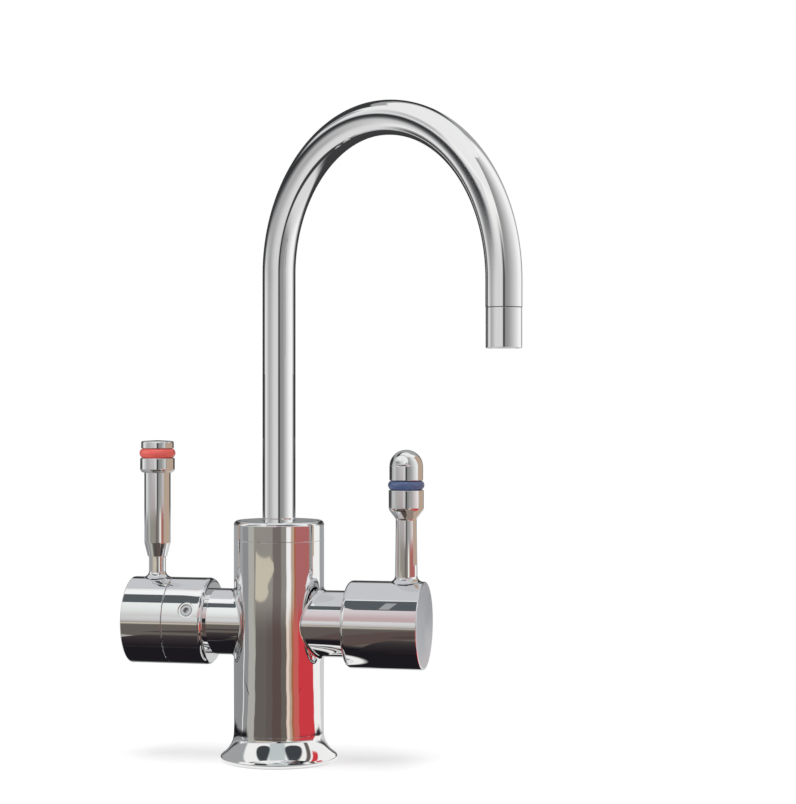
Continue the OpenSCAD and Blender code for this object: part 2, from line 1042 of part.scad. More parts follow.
// Bullet cap: a short cylinder under a half ball
module cold_cap() {
    cap_r = 7.15;
    color([0.85, 0.86, 0.88])
        on_lever(cold_lever_x)
            difference() {
                rotate_extrude()
                    intersection() {
                        union() {
                            translate([0, cold_cap_z])
                                square([cap_r, cold_top_z - cap_r - cold_cap_z]);
                            translate([0, cold_top_z - cap_r])
                                circle(r = cap_r);
                        }
                        translate([0, cold_cap_z])
                            square([cap_r, cold_top_z]);
                    }
                z_rod(cold_cap_z - over, cold_cap_z + 3.4, head_spigot_d);
            }
}

base_seal();
base_flange();
tap_body();
top_cap();
cap_wiper_ring();
mounting_shank();
deck_rubber_washer();
deck_steel_washer();
lock_nut();
cold_supply_tail();
tank_feed_tail();
hot_return_tail();
tail_seals();
spout_tube();
spout_foot();
spout_seals();
spout_lower_bush();
spout_upper_bush();
outlet_nozzle();
nozzle_seal();
flow_straightener();
hot_neck();
hot_neck_seal();
hot_seat_seal();
hot_cartridge();
hot_fixed_disc();
hot_moving_disc();
hot_spindle();
hot_spindle_seal();
hot_circlip();
hot_lock_ring();
hot_fixed_collar();
hot_grub_screw();
hot_hub();
hot_hub_screw();
hot_end_disc();
hot_stem();
hot_stem_nut();
hot_lock_spring();
hot_lock_rod();
hot_sleeve();
hot_collar();
hot_ring();
hot_cap();
cold_neck();
cold_neck_seal();
cold_seat_seal();
cold_cartridge();
cold_fixed_disc();
cold_moving_disc();
cold_spindle();
cold_spindle_seal();
cold_circlip();
cold_hub();
cold_hub_screw();
cold_end_disc();
cold_stem();
cold_ring();
cold_cap();
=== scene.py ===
"""A chromed boiling water tap: fine meshes, finishes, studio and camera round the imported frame.

Sizes are in millimetres in the row frame and become metres when a mesh is placed.
"""
import json
import math

import bpy
from mathutils import Matrix, Vector


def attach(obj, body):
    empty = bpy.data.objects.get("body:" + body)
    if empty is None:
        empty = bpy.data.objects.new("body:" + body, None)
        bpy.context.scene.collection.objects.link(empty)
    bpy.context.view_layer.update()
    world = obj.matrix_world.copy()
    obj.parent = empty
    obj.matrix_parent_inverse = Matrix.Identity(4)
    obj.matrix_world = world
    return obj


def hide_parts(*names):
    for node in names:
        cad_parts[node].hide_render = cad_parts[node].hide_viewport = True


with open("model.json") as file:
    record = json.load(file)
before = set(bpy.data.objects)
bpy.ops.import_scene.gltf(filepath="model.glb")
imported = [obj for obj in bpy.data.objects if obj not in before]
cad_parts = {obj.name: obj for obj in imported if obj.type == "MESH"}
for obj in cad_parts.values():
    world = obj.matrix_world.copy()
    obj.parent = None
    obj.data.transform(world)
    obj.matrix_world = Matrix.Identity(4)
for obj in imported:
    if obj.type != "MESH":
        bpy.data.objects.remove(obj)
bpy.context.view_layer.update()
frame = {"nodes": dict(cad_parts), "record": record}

MM = 0.001
AXIS_Z = 58.9        # height of the handle axis
HUB_R = 18.7         # radius of the hubs
NECK_R = 14.25       # radius of the fixed necks
COLUMN_R = 19.4      # radius of the column
COLUMN_TOP = 94.6    # seam between column and cap
CAP_LOW = 91.0       # underside of the cap's spigot
CAP_TOP = 103.0
SPIGOT_R = 16.0
FLANGE_H = 12.0
FLANGE_BORE_R = 17.0
SEAL_T = 1.6         # seal under the flange
SHANK_R = 13.2
SHANK_TOP = 16.0     # the shank's end inside the column
BOSS_END = 22.0      # outer ends of the column's bosses
NECK_END = 42.0
HOT_HUB_START = 29.4
COLD_HUB_START = 31.0
HUB_BORE_R = 15.0
HUB_ROUNDING = 2.0   # the hubs' inner shoulders
END_DISC_R = 17.8
HOT_END = 65.6       # outer ends of the hubs, from the tap axis
COLD_END = 64.0
HOT_SEAM = 47.2
END_DISC_T = 2.2
HOT_X = -55.0        # hot lever's axis
COLD_X = 56.0        # cold lever's axis
FOOT_Z = AXIS_Z + HUB_R
RING_BORE_R = 5.5
SPOUT_YAW = math.radians(-33)
RISER_BEND_R = 61.0
OUTLET_BEND_R = 69.0
REACH = RISER_BEND_R + OUTLET_BEND_R
APEX_Z = 270.0       # centre line at the top of the arch
TUBE_R = 7.1
TUBE_BORE_R = 6.1
NOZZLE_TOP = 190.4
NOZZLE_L = 15.8
CAMERA_AZIMUTH = math.radians(12)


# -------- placing

def upright(x=0.0, y=0.0):
    """Places a shape turned about Z on an upright axis."""
    return Matrix.Translation((x, y, 0))


def along_x(sign):
    """Places a shape turned about Z on the handle axis, pointing to +X or to -X."""
    return Matrix.Translation((0, 0, AXIS_Z)) @ Matrix.Rotation(sign * math.pi / 2, 4, "Y")


def on_spout(x=0.0):
    """Places an upright shape in the spout's plane, x from the tap axis."""
    return Matrix.Rotation(SPOUT_YAW, 4, "Z") @ Matrix.Translation((x, 0, 0))


# -------- meshes

ROUNDING_STEP = 9    # degrees from point to point on a rounded corner
SHARP_ANGLE = math.radians(40)
NO_LENGTH = 1e-6


def steps(start, end, count):
    """Equal steps from start to end, both included."""
    return [start + (end - start) * i / count for i in range(count + 1)]


def circle(segments):
    """Unit vectors (x, y) round a circle. The last is the first again."""
    return [(math.cos(a), math.sin(a)) for a in steps(0, 2 * math.pi, segments)]


def rod(r, low, high):
    """Profile of a solid cylinder."""
    return [(0, low), (r, low), (r, high), (0, high)]


def round_run(cx, cz, r, angles, sign):
    """Points on an arc of a profile, each with its normal."""
    units = [(math.cos(a), math.sin(a)) for a in angles]
    return [((cx + r * x, cz + r * z), (sign * x, sign * z)) for x, z in units]


def arc(cx, cz, r, start, end, hollow=False, step=6.0):
    """An arc of a profile, angles in degrees. hollow is True where the centre lies outside the material."""
    count = max(3, math.ceil(abs(end - start) / step))
    return round_run(cx, cz, r, [math.radians(a) for a in steps(start, end, count)], -1 if hollow else 1)


def profile_edges(items):
    """Turns corners (r, z) or (r, z, rounding) and arcs into edges (p, q, normal at p, normal at q)."""
    spans = [[p for p, _ in item] if isinstance(item, list) else [item[:2]] for item in items]
    flat = [p for span in spans for p in span]
    area = sum(a[0] * b[1] - b[0] * a[1] for a, b in zip(flat, flat[1:] + flat[:1]))
    turn = 1 if area > 0 else -1
    runs = []
    for i, item in enumerate(items):
        if isinstance(item, list):
            runs.append(item)
            continue
        corner = Vector(item[:2])
        if len(item) == 2:
            runs.append([(tuple(corner), None)])
            continue
        rounding = item[2]
        u = (Vector(spans[i - 1][-1]) - corner).normalized()
        v = (Vector(spans[(i + 1) % len(spans)][0]) - corner).normalized()
        angle = u.angle(v)
        reach = rounding / math.tan(angle / 2)
        centre = corner + (u + v).normalized() * rounding / math.sin(angle / 2)
        first, last = corner + u * reach, corner + v * reach
        a0 = math.atan2(first.y - centre.y, first.x - centre.x)
        a1 = math.atan2(last.y - centre.y, last.x - centre.x)
        sweep = (a1 - a0 + math.pi) % (2 * math.pi) - math.pi
        count = max(3, math.ceil(abs(math.degrees(sweep)) / ROUNDING_STEP))
        runs.append(round_run(*centre, rounding, steps(a0, a0 + sweep, count), 1 if sweep * turn > 0 else -1))
    edges = []
    for run, following in zip(runs, runs[1:] + runs[:1]):
        edges += [(p, q, p_normal, q_normal) for (p, p_normal), (q, q_normal) in zip(run, run[1:])]
        p, q = run[-1][0], following[0][0]
        length = math.dist(p, q)
        if length > NO_LENGTH:
            normal = (turn * (q[1] - p[1]) / length, -turn * (q[0] - p[0]) / length)
            edges.append((p, q, normal, normal))
    if turn < 0:
        edges = [(q, p, q_normal, p_normal) for p, q, p_normal, q_normal in reversed(edges)]
    return edges


def closed_grid(rows, columns):
    """Faces of a grid of points that closes both ways."""
    faces = []
    for i in range(rows):
        n = (i + 1) % rows
        for j in range(columns):
            k = (j + 1) % columns
            faces.append([i * columns + j, i * columns + k, n * columns + k, n * columns + j])
    return faces


def add_object(name, data):
    """A new object in the scene."""
    obj = bpy.data.objects.new(name, data)
    bpy.context.scene.collection.objects.link(obj)
    return obj


def mesh_object(name, verts, faces, normals, place):
    """A smooth mesh object from millimetres. Its normals are one for each face corner, or None to find them."""
    mesh = bpy.data.meshes.new(name)
    scale = Matrix.Scale(MM, 4)
    mesh.from_pydata([scale @ place @ Vector(v) for v in verts], [], faces)
    mesh.shade_smooth()
    if normals:
        turn = place.to_3x3()
        mesh.normals_split_custom_set([turn @ Vector(nrm) for nrm in normals])
    else:
        mesh.set_sharp_from_angle(angle=SHARP_ANGLE)
    return add_object(name, mesh)


def lathe(name, items, place, segments=144, shape=None):
    """Turns a closed profile about Z. shape, if given, moves each finished point in its own frame."""
    verts, faces, normals, ring_of = [], [], [], {}
    spokes = circle(segments)

    def ring(p):
        """Index of the first vertex that a profile point makes, and the step to the next, 0 at a pole."""
        key = (round(p[0], 5), round(p[1], 5))
        pole = p[0] < NO_LENGTH
        if key not in ring_of:
            ring_of[key] = len(verts)
            for x, y in spokes[:1 if pole else segments]:
                point = (p[0] * x, p[0] * y, p[1])
                verts.append(shape(point) if shape else point)
        return ring_of[key], 0 if pole else 1

    for p, q, p_normal, q_normal in profile_edges(items):
        if p[0] < NO_LENGTH and q[0] < NO_LENGTH:
            continue
        (a, a_step), (b, b_step) = ring(p), ring(q)
        for j in range(segments):
            k = (j + 1) % segments
            corners = [(a + j * a_step, p_normal, spokes[j]), (a + k * a_step, p_normal, spokes[j + 1]),
                       (b + k * b_step, q_normal, spokes[j + 1]), (b + j * b_step, q_normal, spokes[j])]
            if not a_step:
                corners.pop(0)
            if not b_step:
                corners.pop(2)
            faces.append([index for index, _, _ in corners])
            normals += [(normal[0] * x, normal[0] * y, normal[1]) for _, normal, (x, y) in corners]
    return mesh_object(name, verts, faces, normals, place)


def pipe(name, path, outer_r, bore_r, place, segments):
    """A hollow tube along path, a list of (point, tangent) in the XZ plane."""
    side = Vector((0, 1, 0))
    verts, rays = [], []
    for r, sign, stations in ((outer_r, 1, path), (bore_r, -1, path[::-1])):
        for point, tangent in stations:
            out = side.cross(Vector(tangent))
            for x, y in circle(segments)[:segments]:
                ray = x * out + y * side
                verts.append(Vector(point) + r * ray)
                rays.append(sign * ray)
    count = len(path)
    end_normals = {count - 1: Vector(path[-1][1]), 2 * count - 1: -Vector(path[0][1])}
    faces, normals = closed_grid(2 * count, segments), []
    for i, face in enumerate(faces):
        normals += [end_normals.get(i // segments, rays[index]) for index in face]
    return mesh_object(name, verts, faces, normals, place)


def cut(obj, tool, operation="DIFFERENCE"):
    """Applies an exact boolean and throws the tool away."""
    modifier = obj.modifiers.new("cut", "BOOLEAN")
    modifier.operation = operation
    modifier.solver = "EXACT"
    modifier.object = tool
    bpy.context.view_layer.update()
    evaluated = obj.evaluated_get(bpy.context.evaluated_depsgraph_get())
    result = bpy.data.meshes.new_from_object(evaluated)
    obj.modifiers.clear()
    obj.data = result
    bpy.data.objects.remove(tool)


def true_normals(obj, surfaces):
    """Gives a cut mesh the normals of its own surfaces, so that mirrors stay true.

    Each surface is a function from a point in mm to the normal there, or None off the surface.
    """
    least = 0.93   # cosine between a face and a surface that it can belong to
    mesh = obj.data
    mesh.shade_smooth()
    normals = []
    for polygon in mesh.polygons:
        flat = polygon.normal.copy()
        for index in polygon.vertices:
            point = mesh.vertices[index].co / MM
            found = [surface(point) for surface in surfaces]
            found = [normal for normal in found if normal is not None and normal.dot(flat) > least]
            normals.append(max(found, key=flat.dot) if found else flat)
    mesh.normals_split_custom_set(normals)


def cylinder(r, hollow, from_axis):
    """Surface of a cylinder. from_axis gives the way from its axis to a point."""
    def at(p):
        d = from_axis(p)
        if abs(d.length - r) > 0.02:
            return None
        return -d.normalized() if hollow else d.normalized()
    return at


def round_z(r, hollow=False):
    """Surface of a cylinder on the tap's axis."""
    return cylinder(r, hollow, lambda p: Vector((p.x, p.y, 0)))


def round_x(r, hollow=False):
    """Surface of a cylinder on the handle axis."""
    return cylinder(r, hollow, lambda p: Vector((0, p.y, p.z - AXIS_Z)))


def ring_x(x, centre_r, r):
    """Surface of a rounded shoulder about the handle axis."""
    def at(p):
        spoke = Vector((0, p.y, p.z - AXIS_Z))
        d = spoke - spoke.normalized() * centre_r + Vector((p.x - x, 0, 0))
        return d.normalized() if abs(d.length - r) < 0.03 else None
    return at


# -------- materials

def put(node, **settings):
    """Sets a node's inputs, with underscores for spaces, and its options."""
    for key, value in settings.items():
        entry = node.inputs.get(key.replace("_", " "))
        if entry is None:
            setattr(node, key, value)
        else:
            entry.default_value = value
    return node


def join(*links):
    """Makes links of (node, output, node, input)."""
    for source, output, target, entry in links:
        source.id_data.links.new(source.outputs[output], target.inputs[entry])


def shader(name, **settings):
    """A new material, its Principled shader and a node maker."""
    material = bpy.data.materials.new(name)
    material.use_nodes = True
    nodes = material.node_tree.nodes
    return material, put(nodes["Principled BSDF"], **settings), node_maker(nodes)


def to_surface(material, node):
    """Makes a node's first output the material's surface."""
    join((node, 0, material.node_tree.nodes["Material Output"], "Surface"))


def node_maker(nodes):
    """A function that adds a node with its settings."""
    return lambda kind, **settings: put(nodes.new(kind), **settings)


def object_noise(add, scale, detail, stretch=(1, 1, 1)):
    """Noise in the piece's own space, scale in cycles per metre."""
    mapping = add("ShaderNodeMapping", Scale=stretch)
    noise = add("ShaderNodeTexNoise", Scale=scale, Detail=detail)
    join((add("ShaderNodeTexCoord"), "Object", mapping, "Vector"), (mapping, "Vector", noise, "Vector"))
    return noise


def roughen(add, noise, low, high, principled):
    """Roughness from low to high, spread by a noise."""
    ramp = add("ShaderNodeMapRange", To_Min=low, To_Max=high)
    join((noise, "Fac", ramp, "Value"), (ramp, "Result", principled, "Roughness"))


def metal(name, colour, rough_low, rough_high, grain_bump=0.02, wave=0.0, stretch=(1, 1, 1)):
    """Polished or drawn metal: hazy patches in the gloss, fine grain, and slow waves if asked."""
    material, principled, add = shader(name, Base_Color=(*colour, 1), Metallic=1.0)
    hazes = object_noise(add, 40, 5.0)
    roughen(add, hazes, rough_low, rough_high, principled)
    grains = object_noise(add, 900, 2.0, stretch)
    bump = add("ShaderNodeBump", Strength=grain_bump, Distance=0.00002)
    join((grains, "Fac", bump, "Height"))
    if wave:
        waves = object_noise(add, 55, 1.0)
        slow = add("ShaderNodeBump", Strength=wave, Distance=0.0006)
        join((waves, "Fac", slow, "Height"), (bump, "Normal", slow, "Normal"))
        bump = slow
    join((bump, "Normal", principled, "Normal"))
    return material


def spun_disc():
    """Satin end disc: fine rings about the handle axis, softly blurred round the turning marks."""
    material, principled, add = shader("satin_disc", Base_Color=(0.66, 0.67, 0.70, 1), Metallic=1.0,
                                       Anisotropic=0.45)
    place = add("ShaderNodeTexCoord")
    centre = add("ShaderNodeVectorMath", operation="SUBTRACT")
    centre.inputs[1].default_value = (0, 0, AXIS_Z * MM)
    flatten = add("ShaderNodeVectorMath", operation="MULTIPLY")
    flatten.inputs[1].default_value = (0, 1, 1)
    radius = add("ShaderNodeVectorMath", operation="LENGTH")
    rings = add("ShaderNodeTexNoise", noise_dimensions="1D", Scale=2600, Detail=4)
    roughen(add, rings, 0.30, 0.42, principled)
    bump = add("ShaderNodeBump", Strength=0.12, Distance=0.00003)
    tangent = add("ShaderNodeTangent", direction_type="RADIAL", axis="X")
    join((place, "Object", centre, 0), (centre, "Vector", flatten, 0), (flatten, "Vector", radius, 0),
         (radius, "Value", rings, "W"), (rings, "Fac", bump, "Height"), (bump, "Normal", principled, "Normal"),
         (tangent, "Tangent", principled, "Tangent"))
    return material


def moulded(name, colour, rough=0.45, tint=0.12, coat=0.0):
    """Moulded rubber, silicone or plastic: mottled tint and a fine pitted skin."""
    material, principled, add = shader(name, Coat_Weight=coat, Coat_Roughness=0.15)
    mottle = object_noise(add, 260, 4.0)
    mix = add("ShaderNodeMix", data_type="RGBA")
    mix.inputs[6].default_value = (*[c * (1 - tint) for c in colour], 1)
    mix.inputs[7].default_value = (*[min(1, c * (1 + tint)) for c in colour], 1)
    roughen(add, mottle, rough - 0.06, rough + 0.06, principled)
    pits = object_noise(add, 1500, 3.0)
    bump = add("ShaderNodeBump", Strength=0.15, Distance=0.00006)
    join((mottle, "Fac", mix, 0), (mix, 2, principled, "Base Color"), (pits, "Fac", bump, "Height"),
         (bump, "Normal", principled, "Normal"))
    return material


FINISH = {
    "chrome": metal("chrome", (0.88, 0.885, 0.89), 0.015, 0.045, wave=0.03),
    "spout_chrome": metal("spout_chrome", (0.90, 0.90, 0.905), 0.03, 0.06, stretch=(1, 1, 0.05)),
    "satin_disc": spun_disc(),
    "steel": metal("steel", (0.60, 0.61, 0.63), 0.18, 0.30, grain_bump=0.08),
    "brass": metal("brass", (0.76, 0.58, 0.29), 0.16, 0.30, grain_bump=0.08),
    "copper": metal("copper", (0.80, 0.47, 0.33), 0.20, 0.34, grain_bump=0.08, stretch=(1, 1, 0.05)),
    "rubber": moulded("rubber", (0.025, 0.025, 0.027), 0.55),
    "white_plastic": moulded("white_plastic", (0.78, 0.77, 0.72), 0.42, 0.04),
    "ceramic": moulded("ceramic", (0.84, 0.83, 0.80), 0.16, 0.02),
    "red_ring": moulded("red_ring", (0.83, 0.115, 0.095), 0.30, 0.06, coat=0.4),
    "blue_ring": moulded("blue_ring", (0.075, 0.115, 0.25), 0.30, 0.08, coat=0.4),
}
SLOT_OF = {part["node"]: part["material_slot"] for part in frame["record"]["subparts"]}
BODY_OF = {node: body for body, nodes in frame["record"]["behaviour"]["bodies"].items() for node in nodes}


def put_finish(obj, finish):
    """Gives a piece one finish in place of any it has."""
    obj.data.materials.clear()
    obj.data.materials.append(FINISH[finish])


def dress(obj, node, finish=None):
    """The piece stands for one CAD node: it takes that node's body, slot and finish."""
    slot = SLOT_OF[node]
    put_finish(obj, finish or slot)
    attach(obj, BODY_OF[node])
    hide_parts(node)


def turned(node, ending, items, place, segments, finish=None, shape=None):
    """A turned piece that stands for one CAD node, named after it."""
    dress(lathe(node + ending, items, place, segments, shape), node, finish)


def trim(obj, body, slot):
    """A detail piece with no CAD node of its own."""
    put_finish(obj, slot)
    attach(obj, body)


def finish_cad_nodes():
    """Every carried-over CAD node gets its slot's finish."""
    for name, obj in frame["nodes"].items():
        put_finish(obj, SLOT_OF[name])


# -------- column and base

def make_base_flange():
    """Trumpet skirt, a hollow flare down to a thin lip, and the seal under it."""
    flare_r = 11.4
    lip_r, lip_low, lip_top = 25.2, 0.4, 1.8
    seal_r = 23.0
    flare_x = COLUMN_R + flare_r
    reach = flare_x - lip_r + 0.6
    end = math.degrees(math.atan2(-math.sqrt(flare_r ** 2 - reach ** 2), -reach))
    items = [(FLANGE_BORE_R, SEAL_T), (seal_r, SEAL_T), (seal_r, lip_low, 0.2), (lip_r, lip_low, 0.3),
             (lip_r, lip_top, 0.55), arc(flare_x, FLANGE_H, flare_r, end % 360, 180, hollow=True, step=2.5),
             (FLANGE_BORE_R, FLANGE_H)]
    turned("base_flange", "_skirt", items, upright(), 192)
    items = [(14.0, 0.0), (seal_r, 0.0, 0.15), (seal_r, SEAL_T, 0.1), (14.0, SEAL_T)]
    turned("base_seal", "_ring", items, upright(), 96)


def make_tap_body():
    """Column with its sockets turned inside, and a boss on each side."""
    foot_bore_r, bush_bore_r = 9.05, 12.0
    foot_low, bush_low = 68.0, 86.0
    items = [(SHANK_R, SEAL_T), (FLANGE_BORE_R, SEAL_T), (FLANGE_BORE_R, FLANGE_H), (COLUMN_R, FLANGE_H, 0.12),
             (COLUMN_R, COLUMN_TOP, 0.18), (SPIGOT_R, COLUMN_TOP), (SPIGOT_R, CAP_LOW), (bush_bore_r, CAP_LOW),
             (bush_bore_r, bush_low), (foot_bore_r, bush_low), (foot_bore_r, foot_low), (0, foot_low),
             (0, SHANK_TOP), (SHANK_R, SHANK_TOP)]
    body = lathe("tap_body_column", items, upright(), 192)
    for sign in (-1, 1):
        cut(body, lathe("boss", rod(NECK_R, 3.0, BOSS_END), along_x(sign), 144), "UNION")
    bores = [round_z(r, hollow=True) for r in (foot_bore_r, bush_bore_r, SPIGOT_R, SHANK_R)]
    true_normals(body, [round_z(COLUMN_R), round_x(NECK_R), *bores, round_z(FLANGE_BORE_R)])
    dress(body, "tap_body")


def make_boss_fillet(sign, name):
    """Bright fillet where a round boss meets the round column: the path of a ball that rolls round the joint."""
    ball_r = 1.7
    buried = 1.2   # depth of the fillet's hidden edge
    around, across = 180, 10
    verts, normals = [], []
    for y, z in [(math.sin(a), math.cos(a)) for a in steps(0, 2 * math.pi, around)[:around]]:
        y0, z0 = (NECK_R + ball_r) * y, (NECK_R + ball_r) * z
        x0 = math.sqrt((COLUMN_R + ball_r) ** 2 - y0 ** 2)
        ball = Vector((x0, y0, z0))
        to_column = Vector((-x0, -y0, 0)).normalized()
        to_boss = Vector((0, -y0, -z0)).normalized()
        angle = to_column.angle(to_boss)
        for t in steps(0, 1, across):
            ray = (math.sin((1 - t) * angle) * to_column + math.sin(t * angle) * to_boss) / math.sin(angle)
            verts.append(ball + ray * ball_r)
            normals.append(-ray)
        inward = (to_column + to_boss).normalized()
        verts.append(ball + (to_column + to_boss) * ball_r / 2 + inward * buried)
        normals.append(inward)
    columns = across + 2
    faces, corners = [], []
    for count, quad in enumerate(closed_grid(around, columns)):
        faces.append(quad if sign > 0 else quad[::-1])
        hidden = count % columns >= across
        corners += [Vector((0, 0, 1)) if hidden else normals[index] for index in faces[-1]]
    place = Matrix.Translation((0, 0, AXIS_Z)) @ Matrix.Diagonal((sign, 1, 1, 1))
    trim(mesh_object(name, verts, faces, corners, place), "root", "chrome")


def make_top_cap():
    """Cap with a spigot in the column, and a groove for the wiper ring."""
    bush_r, bush_top = 9.2, 97.0
    tube_r, wiper_r = 7.3, 8.5
    items = [(bush_r, CAP_LOW), (SPIGOT_R, CAP_LOW), (SPIGOT_R, COLUMN_TOP), (COLUMN_R, COLUMN_TOP, 0.22),
             (COLUMN_R, CAP_TOP, 1.8), (tube_r, CAP_TOP, 0.25), (tube_r, CAP_TOP - 0.6), (wiper_r, CAP_TOP - 0.6),
             (wiper_r, CAP_TOP - 2), (tube_r, CAP_TOP - 2), (tube_r, bush_top), (bush_r, bush_top)]
    turned("top_cap", "_shell", items, upright(), 192)


# -------- spout

def spout_path():
    """Points and tangents from the riser's foot over the arch to the seam."""
    path = [((0, 0, 80.0), (0, 0, 1))]
    for a in steps(math.pi, 0, 120):
        bend = RISER_BEND_R if a > math.pi / 2 + NO_LENGTH else OUTLET_BEND_R
        path.append(((RISER_BEND_R + bend * math.cos(a), 0, APEX_Z - bend + bend * math.sin(a)),
                     (math.sin(a), 0, -math.cos(a))))
    path.append(((REACH, 0, NOZZLE_TOP), (0, 0, -1)))
    return path


def make_spout():
    """Gooseneck tube, the nozzle screwed up into it, and a dark ring in the seam between them, painted shade of the
    gap.
    """
    tube = pipe("spout_gooseneck", spout_path(), TUBE_R, TUBE_BORE_R, on_spout(), 128)
    dress(tube, "spout_tube", "spout_chrome")
    mouth_r, nozzle_r, bore_r = 4.8, 7.0, 5.3
    mouth, shoulder = NOZZLE_TOP - NOZZLE_L, NOZZLE_TOP - 0.3
    items = [(mouth_r, mouth, 0.3), (nozzle_r, mouth, 0.35), (nozzle_r, shoulder, 0.12), (6.6, shoulder),
             (6.6, NOZZLE_TOP), (TUBE_BORE_R, NOZZLE_TOP), (TUBE_BORE_R, NOZZLE_TOP + 2), (5.7, NOZZLE_TOP + 2),
             (5.7, NOZZLE_TOP + 4), (TUBE_BORE_R, NOZZLE_TOP + 4), (TUBE_BORE_R, NOZZLE_TOP + 6),
             (bore_r, NOZZLE_TOP + 6), (bore_r, mouth + 4), (mouth_r, mouth + 4)]
    turned("outlet_nozzle", "_turned", items, on_spout(REACH), 128, "spout_chrome")
    # Painted shade: a thin ring with the dark rubber finish stands for the shadowed gap in the seam.
    low, high = NOZZLE_TOP - 0.27, NOZZLE_TOP - 0.03
    items = [(6.7, low), (6.95, low), (6.95, high), (6.7, high)]
    trim(lathe("outlet_seam_shade", items, on_spout(REACH), 128), "spout", "rubber")


# -------- side valves

def make_necks():
    """Fixed necks, each with its cartridge chamber and its threaded tail in the column."""
    tail_r, tail_low, chamber_r, chamber_low = 10.0, 12.0, 9.0, 18.0
    for side, sign in (("hot", -1), ("cold", 1)):
        items = [(0, tail_low), (tail_r, tail_low), (tail_r, BOSS_END), (NECK_R, BOSS_END), (NECK_R, NECK_END, 0.3),
                 (chamber_r, NECK_END), (chamber_r, chamber_low), (0, chamber_low)]
        turned(side + "_neck", "_turned", items, along_x(sign), 144)


def make_end_discs():
    """Turned discs with a softened rim."""
    for side, sign, end in (("hot", -1, HOT_END), ("cold", 1, COLD_END)):
        items = [(0, end - END_DISC_T), (END_DISC_R, end - END_DISC_T), (END_DISC_R, end, 0.2), (0, end)]
        turned(side + "_end_disc", "_face", items, along_x(sign), 144)


def make_hot_collar_shell():
    """Fixed half of the hot hub, with the grub screw's stepped hole."""
    edge = 0.3
    items = [(NECK_R, HOT_HUB_START), (HUB_R, HOT_HUB_START, HUB_ROUNDING), (HUB_R, HOT_SEAM, edge),
             (HUB_BORE_R, HOT_SEAM), (HUB_BORE_R, NECK_END), (NECK_R, NECK_END)]
    shell = lathe("hot_fixed_collar_shell", items, along_x(-1), 192)
    place = grub_place()
    holes = ((2.52, -1.0), (3.55, 3.4))
    for r, low in holes:
        cut(shell, lathe("tool", rod(r, low, 8.0), place, 72))
    true_normals(shell, [round_x(HUB_R), ring_x(-HOT_HUB_START - HUB_ROUNDING, HUB_R - HUB_ROUNDING, HUB_ROUNDING),
                         ring_x(edge - HOT_SEAM, HUB_R - edge, edge), round_x(NECK_R, hollow=True),
                         round_x(HUB_BORE_R, hollow=True), *[grub_bore(place, r) for r, _ in holes]])
    dress(shell, "hot_fixed_collar")


def grub_place():
    """The grub screw's axis: square to the neck, at the front, 20 degrees above the handle axis."""
    return (Matrix.Translation((-36.4, 0, AXIS_Z)) @ Matrix.Rotation(math.radians(70), 4, "X")
            @ Matrix.Translation((0, 0, NECK_R)))


def grub_bore(place, r):
    """Wall of a hole on the grub screw's axis."""
    back, turn = place.inverted(), place.to_3x3()

    def from_axis(p):
        q = back @ p
        return turn @ Vector((q.x, q.y, 0))
    return cylinder(r, True, from_axis)


def make_grub_screw():
    """Socket screw with a chamfered rim, sunk in its ringed recess."""
    place = grub_place()
    screw = lathe("hot_grub_screw_head", [(0, 0.1), (2.5, 0.1), (2.5, 3.6, 0.35), (0, 3.6)], place, 64)
    cut(screw, lathe("tool", rod(1.45, 1.5, 5.0), place, 6))
    true_normals(screw, [])
    dress(screw, "hot_grub_screw")
    ring = lathe("grub_screw_recess_ring",
                 [(2.62, 3.3), (3.5, 3.3), (3.5, 3.75, 0.18), (2.62, 3.75, 0.18)], place, 72)
    trim(ring, "root", "chrome")


def hub_end(end):
    """Profile of a hub's outer end: the end disc's recess, and the boss on the spindle."""
    recess = end - END_DISC_T
    boss_r, spline_r, boss_low, boss_top = 4.5, 3.5, 54.0, 60.0
    return [(HUB_R, end, 0.45), (END_DISC_R, end), (END_DISC_R, recess), (boss_r, recess), (boss_r, boss_top),
            (spline_r, boss_top), (spline_r, boss_low)]


def make_hub_shells():
    """Turning half of the hot hub, and the cold hub."""
    low = HOT_SEAM + 0.15
    items = [(HUB_BORE_R, low), (HUB_R, low, 0.3), *hub_end(HOT_END), (6.5, 54.0), (6.5, 58.6), (HUB_BORE_R, 58.6)]
    turned("hot_hub", "_shell", items, along_x(-1), 192)
    items = [(HUB_BORE_R, COLD_HUB_START, 0.2), (HUB_R, COLD_HUB_START, HUB_ROUNDING), *hub_end(COLD_END),
             (HUB_BORE_R, 54.0)]
    turned("cold_hub", "_shell", items, along_x(1), 192)


def saddle(height):
    """Lets a lever's foot follow the hub's round top, fading out over the given height."""
    def shape(p):
        x, y, z = p
        drop = HUB_R - math.sqrt(max(0.0, HUB_R ** 2 - y * y))
        fade = min(1.0, max(0.0, 1 - (z - FOOT_Z) / height))
        return (x, y, z - drop * fade)
    return shape


